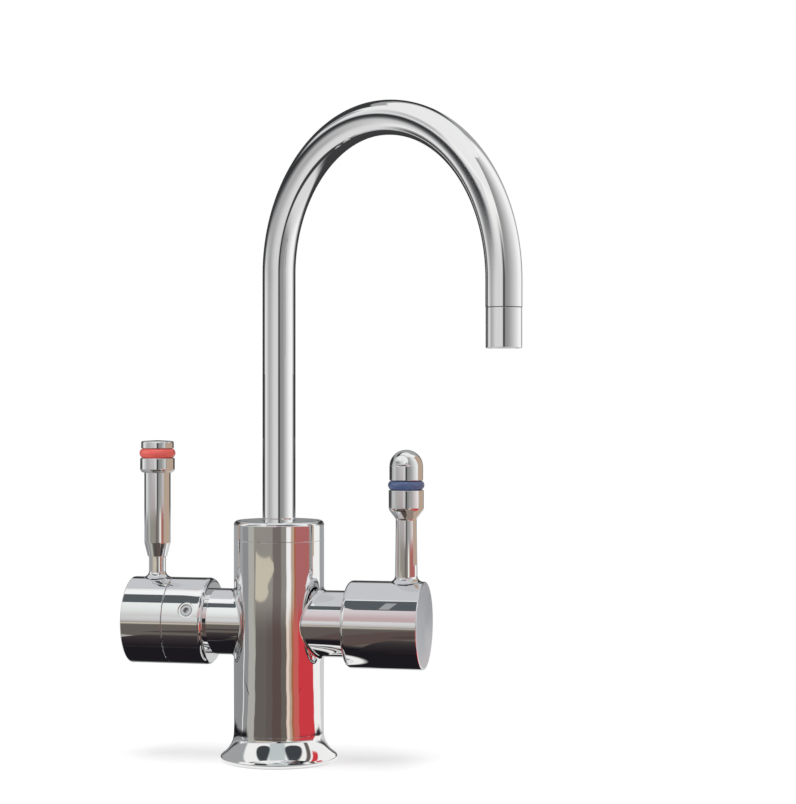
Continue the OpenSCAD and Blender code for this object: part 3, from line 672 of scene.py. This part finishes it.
def make_hot_lever():
    """Thin stem with a flared foot, and the sleeve, collar, ring and cap that lift on it."""
    stem_r, stem_top, tip_r, tip_top, rod_r = 3.7, 112.0, 3.0, 116.0, 1.55
    flare_r = 2.6
    flare_x = stem_r + flare_r
    items = [(rod_r, FOOT_Z - 2.5), (tip_r, FOOT_Z - 2.5), (tip_r, FOOT_Z - 0.4), (flare_x - 0.35, FOOT_Z - 0.4),
             arc(flare_x, FOOT_Z + flare_r + 0.05, flare_r, 262, 180, hollow=True),
             (stem_r, stem_top), (tip_r, stem_top), (tip_r, tip_top), (rod_r, tip_top)]
    turned("hot_stem", "_turned", items, upright(HOT_X), 96, shape=saddle(6.0))
    sleeve_r, sleeve_bore_r, sleeve_top = 5.7, 4.9, 123.1
    items = [(3.75, 86.6), (4.2, 86.6, 0.2), (sleeve_r, 92.6, 2.0), (sleeve_r, sleeve_top),
             (sleeve_bore_r, sleeve_top), (sleeve_bore_r, 93.0), (3.75, 93.0)]
    turned("hot_sleeve", "_tube", items, upright(HOT_X), 112)
    collar_r, collar_top, spigot_r, spigot_top, ring_top = 7.5, 129.4, 2.9, 135.1, 133.7
    items = [(1.5, 118.1), (sleeve_bore_r, 118.1), (sleeve_bore_r, sleeve_top), (collar_r, sleeve_top, 1.6),
             (collar_r, collar_top, 0.25), (RING_BORE_R, collar_top), (RING_BORE_R, spigot_top),
             (spigot_r, spigot_top), (spigot_r, 126.6), (1.5, 126.6)]
    turned("hot_collar", "_turned", items, upright(HOT_X), 128)
    make_head_ring("hot_ring", HOT_X, collar_top, ring_top, 7.8)
    cap_r = 7.1
    items = [(0, 128.6), (spigot_r, 128.6), (spigot_r, spigot_top), (RING_BORE_R, spigot_top),
             (RING_BORE_R, ring_top), (cap_r, ring_top, 0.2), (cap_r, 136.8, 0.8), (4.5, 137.0, 9.0), (0, 137.2)]
    turned("hot_cap", "_turned", items, upright(HOT_X), 128)


def make_head_ring(node, x, low, high, outer_r):
    """Soft ring with a bulging rim between collar and cap."""
    middle = (low + high) / 2
    half = (high - low) / 2 - 0.04
    bulge = 1.35
    arc_r = (half * half + bulge * bulge) / (2 * bulge)
    reach = math.degrees(math.asin(min(1, half / arc_r)))
    items = [(RING_BORE_R, middle - half), arc(outer_r - arc_r, middle, arc_r, -reach, reach),
             (RING_BORE_R, middle + half)]
    turned(node, "_moulding", items, upright(x), 112)


def make_cold_lever():
    """One turned stem with a flared foot, slim taper, soft cone and collar, then ring and bullet cap."""
    foot_r, spigot_r = 4.8, 3.5
    flare_r = 2.4
    flare_x = foot_r + flare_r
    collar_r, collar_top, pin_top, ring_top = 7.45, 116.5, 124.0, 120.6
    items = [(0, FOOT_Z - 2.6), (spigot_r, FOOT_Z - 2.6), (spigot_r, FOOT_Z - 0.4), (flare_x - 0.3, FOOT_Z - 0.4),
             arc(flare_x, FOOT_Z + flare_r + 0.05, flare_r, 262, 181, hollow=True),
             (4.45, 104.2, 1.5), (collar_r, 108.2, 2.4), (collar_r, collar_top, 0.25), (RING_BORE_R, collar_top),
             (RING_BORE_R, pin_top), (0, pin_top)]
    turned("cold_stem", "_turned", items, upright(COLD_X), 112, shape=saddle(6.0))
    make_head_ring("cold_ring", COLD_X, collar_top, ring_top, 7.75)
    cap_r, cap_top = 7.15, 133.6
    items = [(RING_BORE_R, ring_top), (cap_r, ring_top, 0.25), (cap_r, cap_top, cap_r - 0.0001), (0, cap_top),
             (0, pin_top), (RING_BORE_R, pin_top)]
    turned("cold_cap", "_bullet", items, upright(COLD_X), 128)


# -------- under the worktop

def make_threaded_shank():
    """Hollow shank with a rolled thread below the worktop surface."""
    root_r, bore_r, pitch = 12.5, 10.5, 1.8
    rolled = 0.2   # the crests' height over the plain shank
    low, high = -52.0, -1.0
    segments, per_turn = 72, 6
    spokes = circle(segments)[:segments]
    verts = []
    for z in steps(low, high, int((high - low) / pitch * per_turn)):
        fade = min(1.0, (z - low) / pitch, (high - z) / pitch)
        for j, (x, y) in enumerate(spokes):
            phase = ((z - low) / pitch - j / segments) % 1.0
            crest = max(0.0, min(1.0, 2.2 - abs(phase - 0.5) * 5.2))
            r = SHANK_R - rolled - (SHANK_R - rolled - root_r) * (1 - crest * fade) + rolled * crest
            verts.append((r * x, r * y, z))
    for r, z in ((SHANK_R, high), (SHANK_R, SHANK_TOP), (bore_r, SHANK_TOP), (bore_r, low)):
        verts += [(r * x, r * y, z) for x, y in spokes]
    faces = closed_grid(len(verts) // segments, segments)
    dress(mesh_object("mounting_shank_threaded", verts, faces, None, upright()), "mounting_shank")


def make_lock_nut():
    """Hexagon nut whose corners are turned off top and bottom."""
    low, high = -42.5, -34.5
    corner_r, turned_r, middle_r = 39.3 / 2, 17.4, 20.2
    chamfer, over = 1.6, 0.01
    nut = lathe("lock_nut_hexagon", rod(corner_r, low, high), upright(), 6)
    cut(nut, lathe("tool", rod(SHANK_R, low - 1, high + 1), upright(), 96))
    items = [(0, low - over), (turned_r, low - over), (middle_r, low + chamfer), (middle_r, high - chamfer),
             (turned_r, high + over), (0, high + over)]
    cut(nut, lathe("tool", items, upright(), 96), "INTERSECT")
    true_normals(nut, [round_z(SHANK_R, hollow=True)])
    dress(nut, "lock_nut")


def make_washers():
    """Rubber washer under the worktop and the steel one below it."""
    bore_r, washer_r = 13.4, 22.5
    for node, low, high, rounding in (("deck_rubber_washer", -33.0, -30.0, 0.5),
                                      ("deck_steel_washer", -34.5, -33.0, 0.25)):
        items = [(bore_r, low), (washer_r, low, rounding), (washer_r, high, rounding), (bore_r, high)]
        turned(node, "_ring", items, upright(), 128)


def make_tails():
    """Rigid tails with a rounded, slightly swollen end for a push-on connector."""
    circle_r = 5.8
    low, end_top, head_top = -76.0, -60.0, 22.0
    for node, turn, head, tube, end, bore in (("cold_supply_tail", 90, 4.0, 3.0, 3.175, 2.1),
                                              ("tank_feed_tail", 210, 4.0, 3.0, 3.175, 2.1),
                                              ("hot_return_tail", 330, 4.8, 3.8, 4.0, 2.9)):
        a = math.radians(turn)
        items = [(bore, low, 0.15), (end, low, 0.5), (end, end_top, 0.08), (tube, end_top, 0.08),
                 (tube, SHANK_TOP), (head, SHANK_TOP), (head, head_top), (bore, head_top)]
        place = upright(circle_r * math.cos(a), circle_r * math.sin(a))
        turned(node, "_tube", items, place, 64)


# -------- studio

# Display colours of the studio
WHITE = (250, 250, 248)
MILK = (246, 250, 248)
CEILING = (243, 243, 243)
PEARL = (228, 228, 228)
LINEN = (226, 226, 226)
SHELL = (222, 214, 216)
SILVER = (214, 214, 214)
ZINC = (212, 211, 209)
CLOUD = (205, 206, 209)
ICE = (196, 204, 204)
BLUSH = (200, 176, 178)
CREAM = (235, 215, 200)
BEIGE = (205, 196, 178)
TAN = (190, 168, 150)
MAUVE = (184, 174, 175)
PALE = (180, 178, 171)
GREY = (165, 166, 168)
DUST = (150, 146, 138)
MOCHA = (150, 134, 124)
ASH = (145, 146, 147)
FLINT = (145, 141, 135)
TAUPE = (118, 110, 107)
OLIVE = (105, 99, 93)
BROWN = (99, 91, 87)
UMBER = (94, 79, 75)
SLATE = (90, 95, 100)
CHARCOAL = (66, 70, 74)
COAL = (62, 62, 64)
GRAPHITE = (58, 59, 60)
SOOT = (52, 53, 55)
BLACK = (30, 28, 32)
RUST = (172, 104, 72)
ROSE = (204, 102, 95)
PINK = (178, 106, 105)
RED = (212, 62, 70)

# Bands of colour round the tap, each by the heading where it ends. Heading 0 points from the tap to the
# camera, positive to picture right.
NEAR_BANDS = ((-100, ASH), (-97, WHITE), (-82, ASH), (-61, PALE), (-31, OLIVE), (-16, BROWN), (5, UMBER),
              (18, OLIVE), (25, CREAM), (31, TAN), (36, RUST), (49, ROSE), (95, RED), (126, WHITE), (180, SILVER))
FAR_BANDS = ((-105, GREY), (-84, ASH), (-66, PALE), (-16, DUST), (5, TAUPE), (18, FLINT), (30, WHITE), (38, TAN),
             (42, RUST), (95, PINK), (126, WHITE), (180, GREY))
# Soft greys at the spout's height, by heading
SOFT_SCREEN = ((-180, 60), (-130, 60), (-119, 130), (-108, 248), (-98, 225), (-86, 200), (-68, 172), (-36, 216),
               (-14, 222), (-7, 205), (-4, 105), (-2, 50), (2, 50), (4, 100), (8, 142), (28, 155), (50, 206),
               (72, 244), (88, 255), (102, 254), (113, 200), (124, 110), (134, 60), (180, 60))
CAMERA_HEADING = math.radians(15.5)   # of the line from the tap to the camera, from the front
FLOOR_CARD_Z = 0.0004
UNDER_FLANGE = (0.0295, 0.0315)   # where the white under the flange's lip ends
ROOM_R = 0.90
ROOM_H = 1.00
TENT_R = 0.30
TENT_LOW = 0.142
TENT_TOP = 0.42
TENT_OPENING = (-14, 20)
TRAY_FALL = 0.03
RISER_SCREEN_R = 0.018
RISER_SCREEN_TURN = 1.22   # so near the riser, it sees a heading this much sooner


def blend3(a, b, t):
    """Colour from a to b."""
    return tuple(p + (q - p) * t for p, q in zip(a, b))


def ease(low, high, value):
    """0 up to low, 1 from high, and smooth between them."""
    t = min(1.0, max(0.0, (value - low) / (high - low)))
    return t * t * (3 - 2 * t)


def between(value, low, low_in, high_in, high):
    """1 from low_in to high_in, easing to 0 at low and at high."""
    return ease(low, low_in, value) * (1 - ease(high_in, high, value))


def to_light(colour):
    """Display value to light."""
    return [((c / 255 + 0.055) / 1.055) ** 2.4 if c > 10 else c / 255 / 12.92 for c in colour]


def bands(stripes, h, soft=2.0):
    """Colour at a heading of stripes that lie side by side."""
    colour = stripes[0][1]
    for (end, _), (_, following) in zip(stripes, stripes[1:]):
        colour = blend3(colour, following, ease(end - soft / 2, end + soft / 2, h))
    return colour


def soft_screen(h):
    """Soft grey at a heading."""
    for (h0, g0), (h1, g1) in zip(SOFT_SCREEN, SOFT_SCREEN[1:]):
        if h <= h1:
            return (g0 + (g1 - g0) * max(0.0, (h - h0) / (h1 - h0)),) * 3
    return (SOFT_SCREEN[-1][1],) * 3


def heading(degrees):
    """Direction across the floor at a heading."""
    a = math.radians(degrees) + CAMERA_HEADING
    return Vector((math.sin(a), -math.cos(a), 0))


def room_colour(h, r, z):
    """Floor, wall and ceiling of the room that the body mirrors."""
    if z >= ROOM_H - 1e-6:
        return CEILING
    on_floor = z <= FLOOR_CARD_Z
    wobble = 0.7 * math.sin(9 * math.log(r + 0.02)) + 0.4 * math.sin(23 * math.log(r + 0.02) + 1)
    edge = h + wobble * on_floor
    far = bands(FAR_BANDS, edge, 3.0)
    if on_floor:
        colour = blend3(bands(NEAR_BANDS, edge), far, ease(0.45, 0.75, r))
        # Painted shadow: outside the white under the flange's lip, the floor card darkens to black in a ring round
        # the tap's foot and under each hub's front, for the metal to mirror.
        p = heading(h) * r
        under_hub = ease(0.022, 0.030, abs(p.x)) * between(p.x, -0.100, -0.086, 0.074, 0.086)
        shade = max(1 - ease(0.050, 0.066, r), under_hub * between(p.y, -0.045, -0.030, 0.05, 0.07))
        return blend3(WHITE, blend3(colour, BLACK, shade), ease(*UNDER_FLANGE, r))
    wall = blend3(soft_screen(h), GREY, ease(0.137, 0.142, z) * ease(105, 120, abs(h)))
    wall = blend3(wall, WHITE, ease(0.2, 0.8, z) * (1 - ease(60, 80, abs(h))))
    wall = blend3(wall, MAUVE, between(h, -70, -50, -26, -14) * (1 - ease(0.07, 0.13, z)))
    return blend3(far, wall, ease(0.045, 0.065, z))


def awning_colour(h, r, z):
    """Under the tray: white near the tap, greyer further off, and pinkish as the cold hub mirrors it."""
    white = blend3(MILK, ZINC, ease(0.07, 0.30, r))
    pink = blend3(SHELL, BLUSH, ease(0.08, 0.20, r))
    return blend3(white, pink, ease(-35.5, -33.5, h - 6 * (1 - r / TENT_R)))


def screen_colour(h, r, z):
    """Soft screen round the spout, paler at the top ahead of the tap."""
    pale = ease(0.335, 0.37, z) * between(h, -132, -118, -24, -14)
    return blend3(soft_screen(h), PEARL, pale)


def slat_colour(h, r, z):
    """Slats along the left screen: dark at the height that the top of the arch mirrors."""
    arch_z = 0.265
    seen = arch_z + (z - arch_z) * TENT_R / r
    dark = between(seen, 0.205, 0.330, 0.345, 0.40) * between(h, -160, -150, -50, -14)
    return blend3(screen_colour(h, r, seen), SOOT, dark)


def tray_colour(h, r, z):
    """Pale tray under the spout, dark behind the riser, with a dark line towards the camera."""
    p = heading(h) * r
    out = p.x * math.cos(SPOUT_YAW) + p.y * math.sin(SPOUT_YAW)
    behind = p.y * math.cos(SPOUT_YAW) - p.x * math.sin(SPOUT_YAW)
    colour = blend3(soft_screen(h), LINEN, 1 - ease(0.08, 0.24, r))
    dark = ease(-0.012, 0.010, behind) * (1 - ease(0.025, 0.050, out))
    line = (1 - ease(0.012, 0.022, abs(r * math.sin(math.radians(h))))) * (abs(h) < 90) * (r <= TENT_R)
    return blend3(colour, COAL, max(dark, line))


def back_screen_colour(h, r, z):
    """Screen behind the tap, dark only at the height of the riser and the outlet."""
    return blend3(soft_screen(h if h <= 180 else h - 360), GREY, ease(0.225, 0.26, z) * ease(115, 125, h))


def skirt_colour(h, r, z):
    """What the flange mirrors: a pale card with two dark patches ahead."""
    dark = max(1 - ease(0.85, 1.1, math.hypot((h - centre) / half, (r - 0.052) / 0.032))
               for centre, half in ((-34, 15), (31, 19)))
    colour = blend3(WHITE, ICE, between(h, -24, -18, 10, 16))
    colour = blend3(colour, GREY, 1 - ease(-84, -76, h))
    colour = blend3(colour, OLIVE, between(h, 58, 62, 68, 72))
    colour = blend3(colour, RED, between(h, 74, 78, 88, 92) * (1 - ease(0.045, 0.055, r)))
    return blend3(colour, CHARCOAL, dark)


def card_material():
    """Studio card: its front is as bright as the colour painted on it, and its back isn't there."""
    material, principled, add = shader("studio_card")
    material.node_tree.nodes.remove(principled)
    paint = add("ShaderNodeAttribute", attribute_name="paint")
    glow = add("ShaderNodeEmission")
    clear = add("ShaderNodeBsdfTransparent")
    side = add("ShaderNodeNewGeometry")
    mix = add("ShaderNodeMixShader")
    join((paint, "Color", glow, "Color"), (side, "Backfacing", mix, "Fac"), (glow, "Emission", mix, 1),
         (clear, "BSDF", mix, 2))
    to_surface(material, mix)
    material.cycles.emission_sampling = "NONE"
    return material


CARD = card_material()


def sheet_object(name, verts, faces):
    """A flat-shaded staging mesh, in metres."""
    mesh = bpy.data.meshes.new(name)
    mesh.from_pydata(verts, [], faces)
    obj = add_object(name, mesh)
    return obj


def mirrored_card(name, verts, faces, colours):
    """A card outside the picture: the metal mirrors it, and it neither shows nor shades."""
    obj = sheet_object(name, verts, faces)
    paint = obj.data.color_attributes.new("paint", "FLOAT_COLOR", "POINT")
    for index, colour in enumerate(colours):
        paint.data[index].color = (*to_light(colour), 1)
    obj.data.materials.append(CARD)
    obj.visible_camera = obj.visible_diffuse = obj.visible_transmission = obj.visible_shadow = False


def turned_card(name, rows, start, end, colour, step=1.0):
    """A card swept round the tap between two headings, through rows of (radius, height)."""
    count = round((end - start) / step)
    verts, colours = [], []
    for h in steps(start, end, count):
        for r, z in rows:
            verts.append(heading(h) * r + Vector((0, 0, z)))
            colours.append(colour(h, r, z))
    n = len(rows)
    corners = [i * n + k for i in range(count) for k in range(n - 1)]
    mirrored_card(name, verts, [[a, a + 1, a + n + 1, a + n] for a in corners], colours)


def upright_card(name, x, start_y, end_y, low, high, colour):
    """A flat upright card. It faces to the right of the way from start to end."""
    verts = [Vector((x, y, z)) for y, z in ((start_y, low), (end_y, low), (end_y, high), (start_y, high))]
    mirrored_card(name, verts, [[0, 1, 2, 3]], [colour] * 4)


def overhead_card(name, outline, colour, z=0.135):
    """A flat card above the hubs, seen from below. Its outline is in millimetres."""
    verts = [Vector((x * MM, y * MM, z)) for x, y in outline]
    if sum(a.x * b.y - b.x * a.y for a, b in zip(verts, verts[1:] + verts[:1])) > 0:
        verts.reverse()
    mirrored_card(name, verts, [list(range(len(verts)))], [colour] * len(verts))


def hub_shadow_cards(name, inner_x, outer_x):
    """Dark cards under a hub's front, painted shadow of the floor beneath the hub for the hub to mirror, each
    tilted so that only what looks more steeply down sees it.

    Each row is a y, a height and a colour.
    """
    for part, scale, rows in (
            ("near", 1.25, ((-58, 1, (60, 54, 56)), (-46, 10, (50, 44, 47)), (-36, 18, (42, 37, 40)),
                            (-24, 27.5, (34, 31, 35)))),
            ("middle", 1.0, ((-96, 1, (74, 68, 67)), (-60, 14.1, (60, 54, 56)), (-32, 24.3, (44, 39, 42)))),
            ("far", 1.0, ((-170, 1, (92, 86, 82)), (-130, 9.5, (80, 74, 72)), (-96, 16.7, (70, 64, 64))))):
        ends = sorted((inner_x, outer_x * scale))
        verts = [Vector((x, y, z)) * MM for y, z, _ in rows for x in ends]
        faces = [[2 * k, 2 * k + 1, 2 * k + 3, 2 * k + 2] for k in range(len(rows) - 1)]
        mirrored_card(name + "_" + part, verts, faces, [colour for _, _, colour in rows for _ in ends])


def beige_patch():
    """Wavy-edged card far off, low in the front left."""
    outline = ((-62, 12), (-34, 12), (-26, 17), (-29, 22), (-22, 28), (-12, 33), (-14, 38), (-24, 43), (-60, 46))
    verts = [heading(h) * 0.60 + Vector((0, 0, z * MM)) for h, z in outline]
    mirrored_card("beige_patch", verts, [list(range(len(verts)))[::-1]], [BEIGE] * len(verts))


def make_room():
    """Floor, wall and ceiling in one sheet, its floor rows growing outwards."""
    growth = 1.1
    radii = [0.024]
    while radii[-1] * growth < ROOM_R:
        radii.append(radii[-1] * growth)
    rows = [(r, FLOOR_CARD_Z) for r in radii + [ROOM_R]]
    rows += [(ROOM_R, z) for z in steps(0.01, 0.06, 10) + steps(0.1, 0.95, 10)]
    rows += [(r, ROOM_H) for r in steps(ROOM_R, 0.02, 44) + [0.001]]
    turned_card("room", rows, -180, 180, room_colour)


def tray_rows(start, end, count, below=0.0):
    """Rows along the tray's slope, or below it."""
    return [(r, TENT_LOW - below - TRAY_FALL * r) for r in steps(start, end, count)]


def make_tent():
    """Tray and screens round the spout, and the awning under the tray."""
    turned_card("spout_tray", tray_rows(0.010, TENT_R, 40), -180, 180, tray_colour)
    turned_card("spout_tray_tongue", tray_rows(TENT_R, 0.88, 12), *TENT_OPENING, tray_colour)
    turned_card("awning", tray_rows(TENT_R, 0.070, 12, 0.0015), -80, 45, awning_colour)
    screen_low = TENT_LOW - 0.3 * TRAY_FALL
    rows = [(TENT_R, z) for z in [screen_low] + steps(0.33, TENT_TOP, 9)]
    turned_card("screen_left", rows, -120, TENT_OPENING[0], screen_colour)
    rows = [(TENT_R, z) for z in steps(screen_low, 0.28, 12) + [0.75]]
    turned_card("screen_right", rows, TENT_OPENING[1], 240, back_screen_colour)
    turned_card("riser_screen", [(RISER_SCREEN_R, z) for z in (0.1034, 0.166)], -112, 112,
                lambda h, r, z: soft_screen(RISER_SCREEN_TURN * h))
    turned_card("screen_behind_arch", [(0.050, 0.215), (0.204, 0.545)], 120, 240, lambda h, r, z: GRAPHITE)
    for k, low in enumerate(steps(0.180, 0.4055, 41)):
        turned_card("slat_%d" % k, [(0.270, low), (0.298, low + 0.016)], -160, -12, slat_colour, 2.0)


def make_small_cards():
    """Cards that put single bands and patches on the flange, the hubs and the levers."""
    rows = [(r, 0.030) for r in steps(0.15, 0.026, 31)]
    turned_card("skirt_card", rows, -180, 180, skirt_colour)
    beige_patch()
    # Painted shadow under each hub, which the hubs' lower halves mirror.
    hub_shadow_cards("shadow_card_under_hot_hub", -31, -86)
    hub_shadow_cards("shadow_card_under_cold_hub", 33, 78)
    overhead_card("dark_strip_hot", ((-130, -69), (-58, -69), (-54, -62), (-30, -62), (-30, -36), (-54, -34),
                                     (-60, -30), (-130, -30)), SLATE)
    overhead_card("white_strip_hot", ((-130, -29.8), (-30, -29.8), (-30, -13), (-130, -13)), (255, 255, 255))
    overhead_card("grey_card_hot", ((-100, -9.4), (-24, -9.4), (-24, 30), (-100, 30)), CLOUD, 0.100)
    overhead_card("grey_card_cold", ((10, -23), (100, -23), (100, 30), (10, 30)), CLOUD, 0.100)
    overhead_card("dark_strip_cold", ((-14, -62), (10, -62), (14, -87), (70, -87), (70, -36), (-14, -38)), SLATE)
    overhead_card("light_patch_cold", ((27, -80), (32, -80), (40, -46), (35, -46)), GREY, 0.1345)
    under_head = [Vector(p) for p in ((0.058, -0.045, 0.0985), (0.100, -0.045, 0.0745), (0.100, 0.012, 0.0745),
                                      (0.058, 0.012, 0.0985))]
    mirrored_card("card_under_cold_head", under_head, [[0, 1, 2, 3]], [MOCHA] * 4)
    upright_card("grey_card_cold_disc", 0.075, 0.016, -0.016, 0.044, 0.071, (205, 206, 208))
    upright_card("tan_card_hot_lever", -0.030, 0.030, -0.008, 0.084, 0.140, TAN)
    upright_card("tan_card_cold_lever", 0.068, 0.016, -0.003, 0.084, 0.140, TAN)


def make_floor():
    """Plain pale floor: it keeps the tap's soft shadow, and to the camera it fades into the white background."""
    size = 12.0
    pale = (0.86, 0.86, 0.86, 1)
    floor = sheet_object("floor", [(-size, -size, 0), (size, -size, 0), (size, size, 0), (-size, size, 0)],
                         [[0, 1, 2, 3]])
    material, principled, add = shader("floor", Base_Color=pale, Roughness=0.9, Specular_IOR_Level=0.1)
    white = add("ShaderNodeEmission", Color=(1, 1, 1, 1))
    lift = add("ShaderNodeEmission", Color=(1, 1, 1, 1), Strength=0.30)
    lifted = add("ShaderNodeAddShader")
    path = add("ShaderNodeLightPath")
    place = add("ShaderNodeTexCoord")
    distance = add("ShaderNodeVectorMath", operation="LENGTH")
    fade = add("ShaderNodeMapRange", interpolation_type="SMOOTHSTEP", From_Min=0.06, From_Max=0.30)
    seen = add("ShaderNodeMixShader")
    shown = add("ShaderNodeMixShader")
    join((place, "Object", distance, 0), (distance, "Value", fade, "Value"), (principled, 0, lifted, 0),
         (lift, 0, lifted, 1), (fade, "Result", seen, "Fac"), (lifted, 0, seen, 1), (white, 0, seen, 2),
         (path, "Is Camera Ray", shown, "Fac"), (principled, 0, shown, 1), (seen, 0, shown, 2))
    to_surface(material, shown)
    floor.data.materials.append(material)


def make_world():
    """White room: plain light on the object, and white behind it where the camera or the metal looks."""
    world = bpy.data.worlds.new("studio")
    bpy.context.scene.world = world
    world.use_nodes = True
    nodes = world.node_tree.nodes
    add = node_maker(nodes)
    back = put(nodes["Background"], Color=(0.86, 0.86, 0.87, 1), Strength=0.75)
    seen = add("ShaderNodeBackground", Color=(1, 1, 1, 1), Strength=1.0)
    path = add("ShaderNodeLightPath")
    either = add("ShaderNodeMath", operation="MAXIMUM")
    mix = add("ShaderNodeMixShader")
    join((path, "Is Camera Ray", either, 0), (path, "Is Glossy Ray", either, 1), (either, 0, mix, "Fac"),
         (back, 0, mix, 1), (seen, 0, mix, 2), (mix, 0, nodes["World Output"], "Surface"))


def area_lamp(name, location, target, size, power):
    """Rectangular softbox that points at a target."""
    lamp = bpy.data.lights.new(name, "AREA")
    lamp.shape = "RECTANGLE"
    lamp.size, lamp.size_y = size
    lamp.energy = power
    obj = add_object(name, lamp)
    obj.location = location
    obj.rotation_euler = (Vector(target) - Vector(location)).to_track_quat("-Z", "Y").to_euler()


def make_lamps():
    """Plain soft light from above and from the left."""
    area_lamp("overhead_softbox", (0.1, -0.2, 1.6), (0, 0, 0), (1.0, 1.0), 9)
    area_lamp("left_softbox", (-1.3, -0.7, 0.8), (0, 0, 0.12), (0.5, 0.9), 4)


def make_camera():
    """Level camera on a long lens, as the tap was photographed."""
    camera_data = bpy.data.cameras.new("camera")
    camera_data.sensor_width = 36
    camera_data.lens = 87.3
    camera_data.clip_end = 50
    camera = add_object("camera", camera_data)
    camera.location = (0.2249, -0.8114, 0.1539)
    camera.rotation_euler = (math.pi / 2, 0, CAMERA_AZIMUTH)
    bpy.context.scene.camera = camera


# -------- assembly

make_camera()
finish_cad_nodes()
make_base_flange()
make_tap_body()
make_boss_fillet(-1, "hot_boss_fillet")
make_boss_fillet(1, "cold_boss_fillet")
make_top_cap()
make_spout()
make_necks()
make_end_discs()
make_hot_collar_shell()
make_grub_screw()
make_hub_shells()
make_hot_lever()
make_cold_lever()
make_threaded_shank()
make_lock_nut()
make_washers()
make_tails()
make_floor()
make_room()
make_tent()
make_small_cards()
make_world()
make_lamps()

bpy.context.scene.view_settings.view_transform = "Standard"
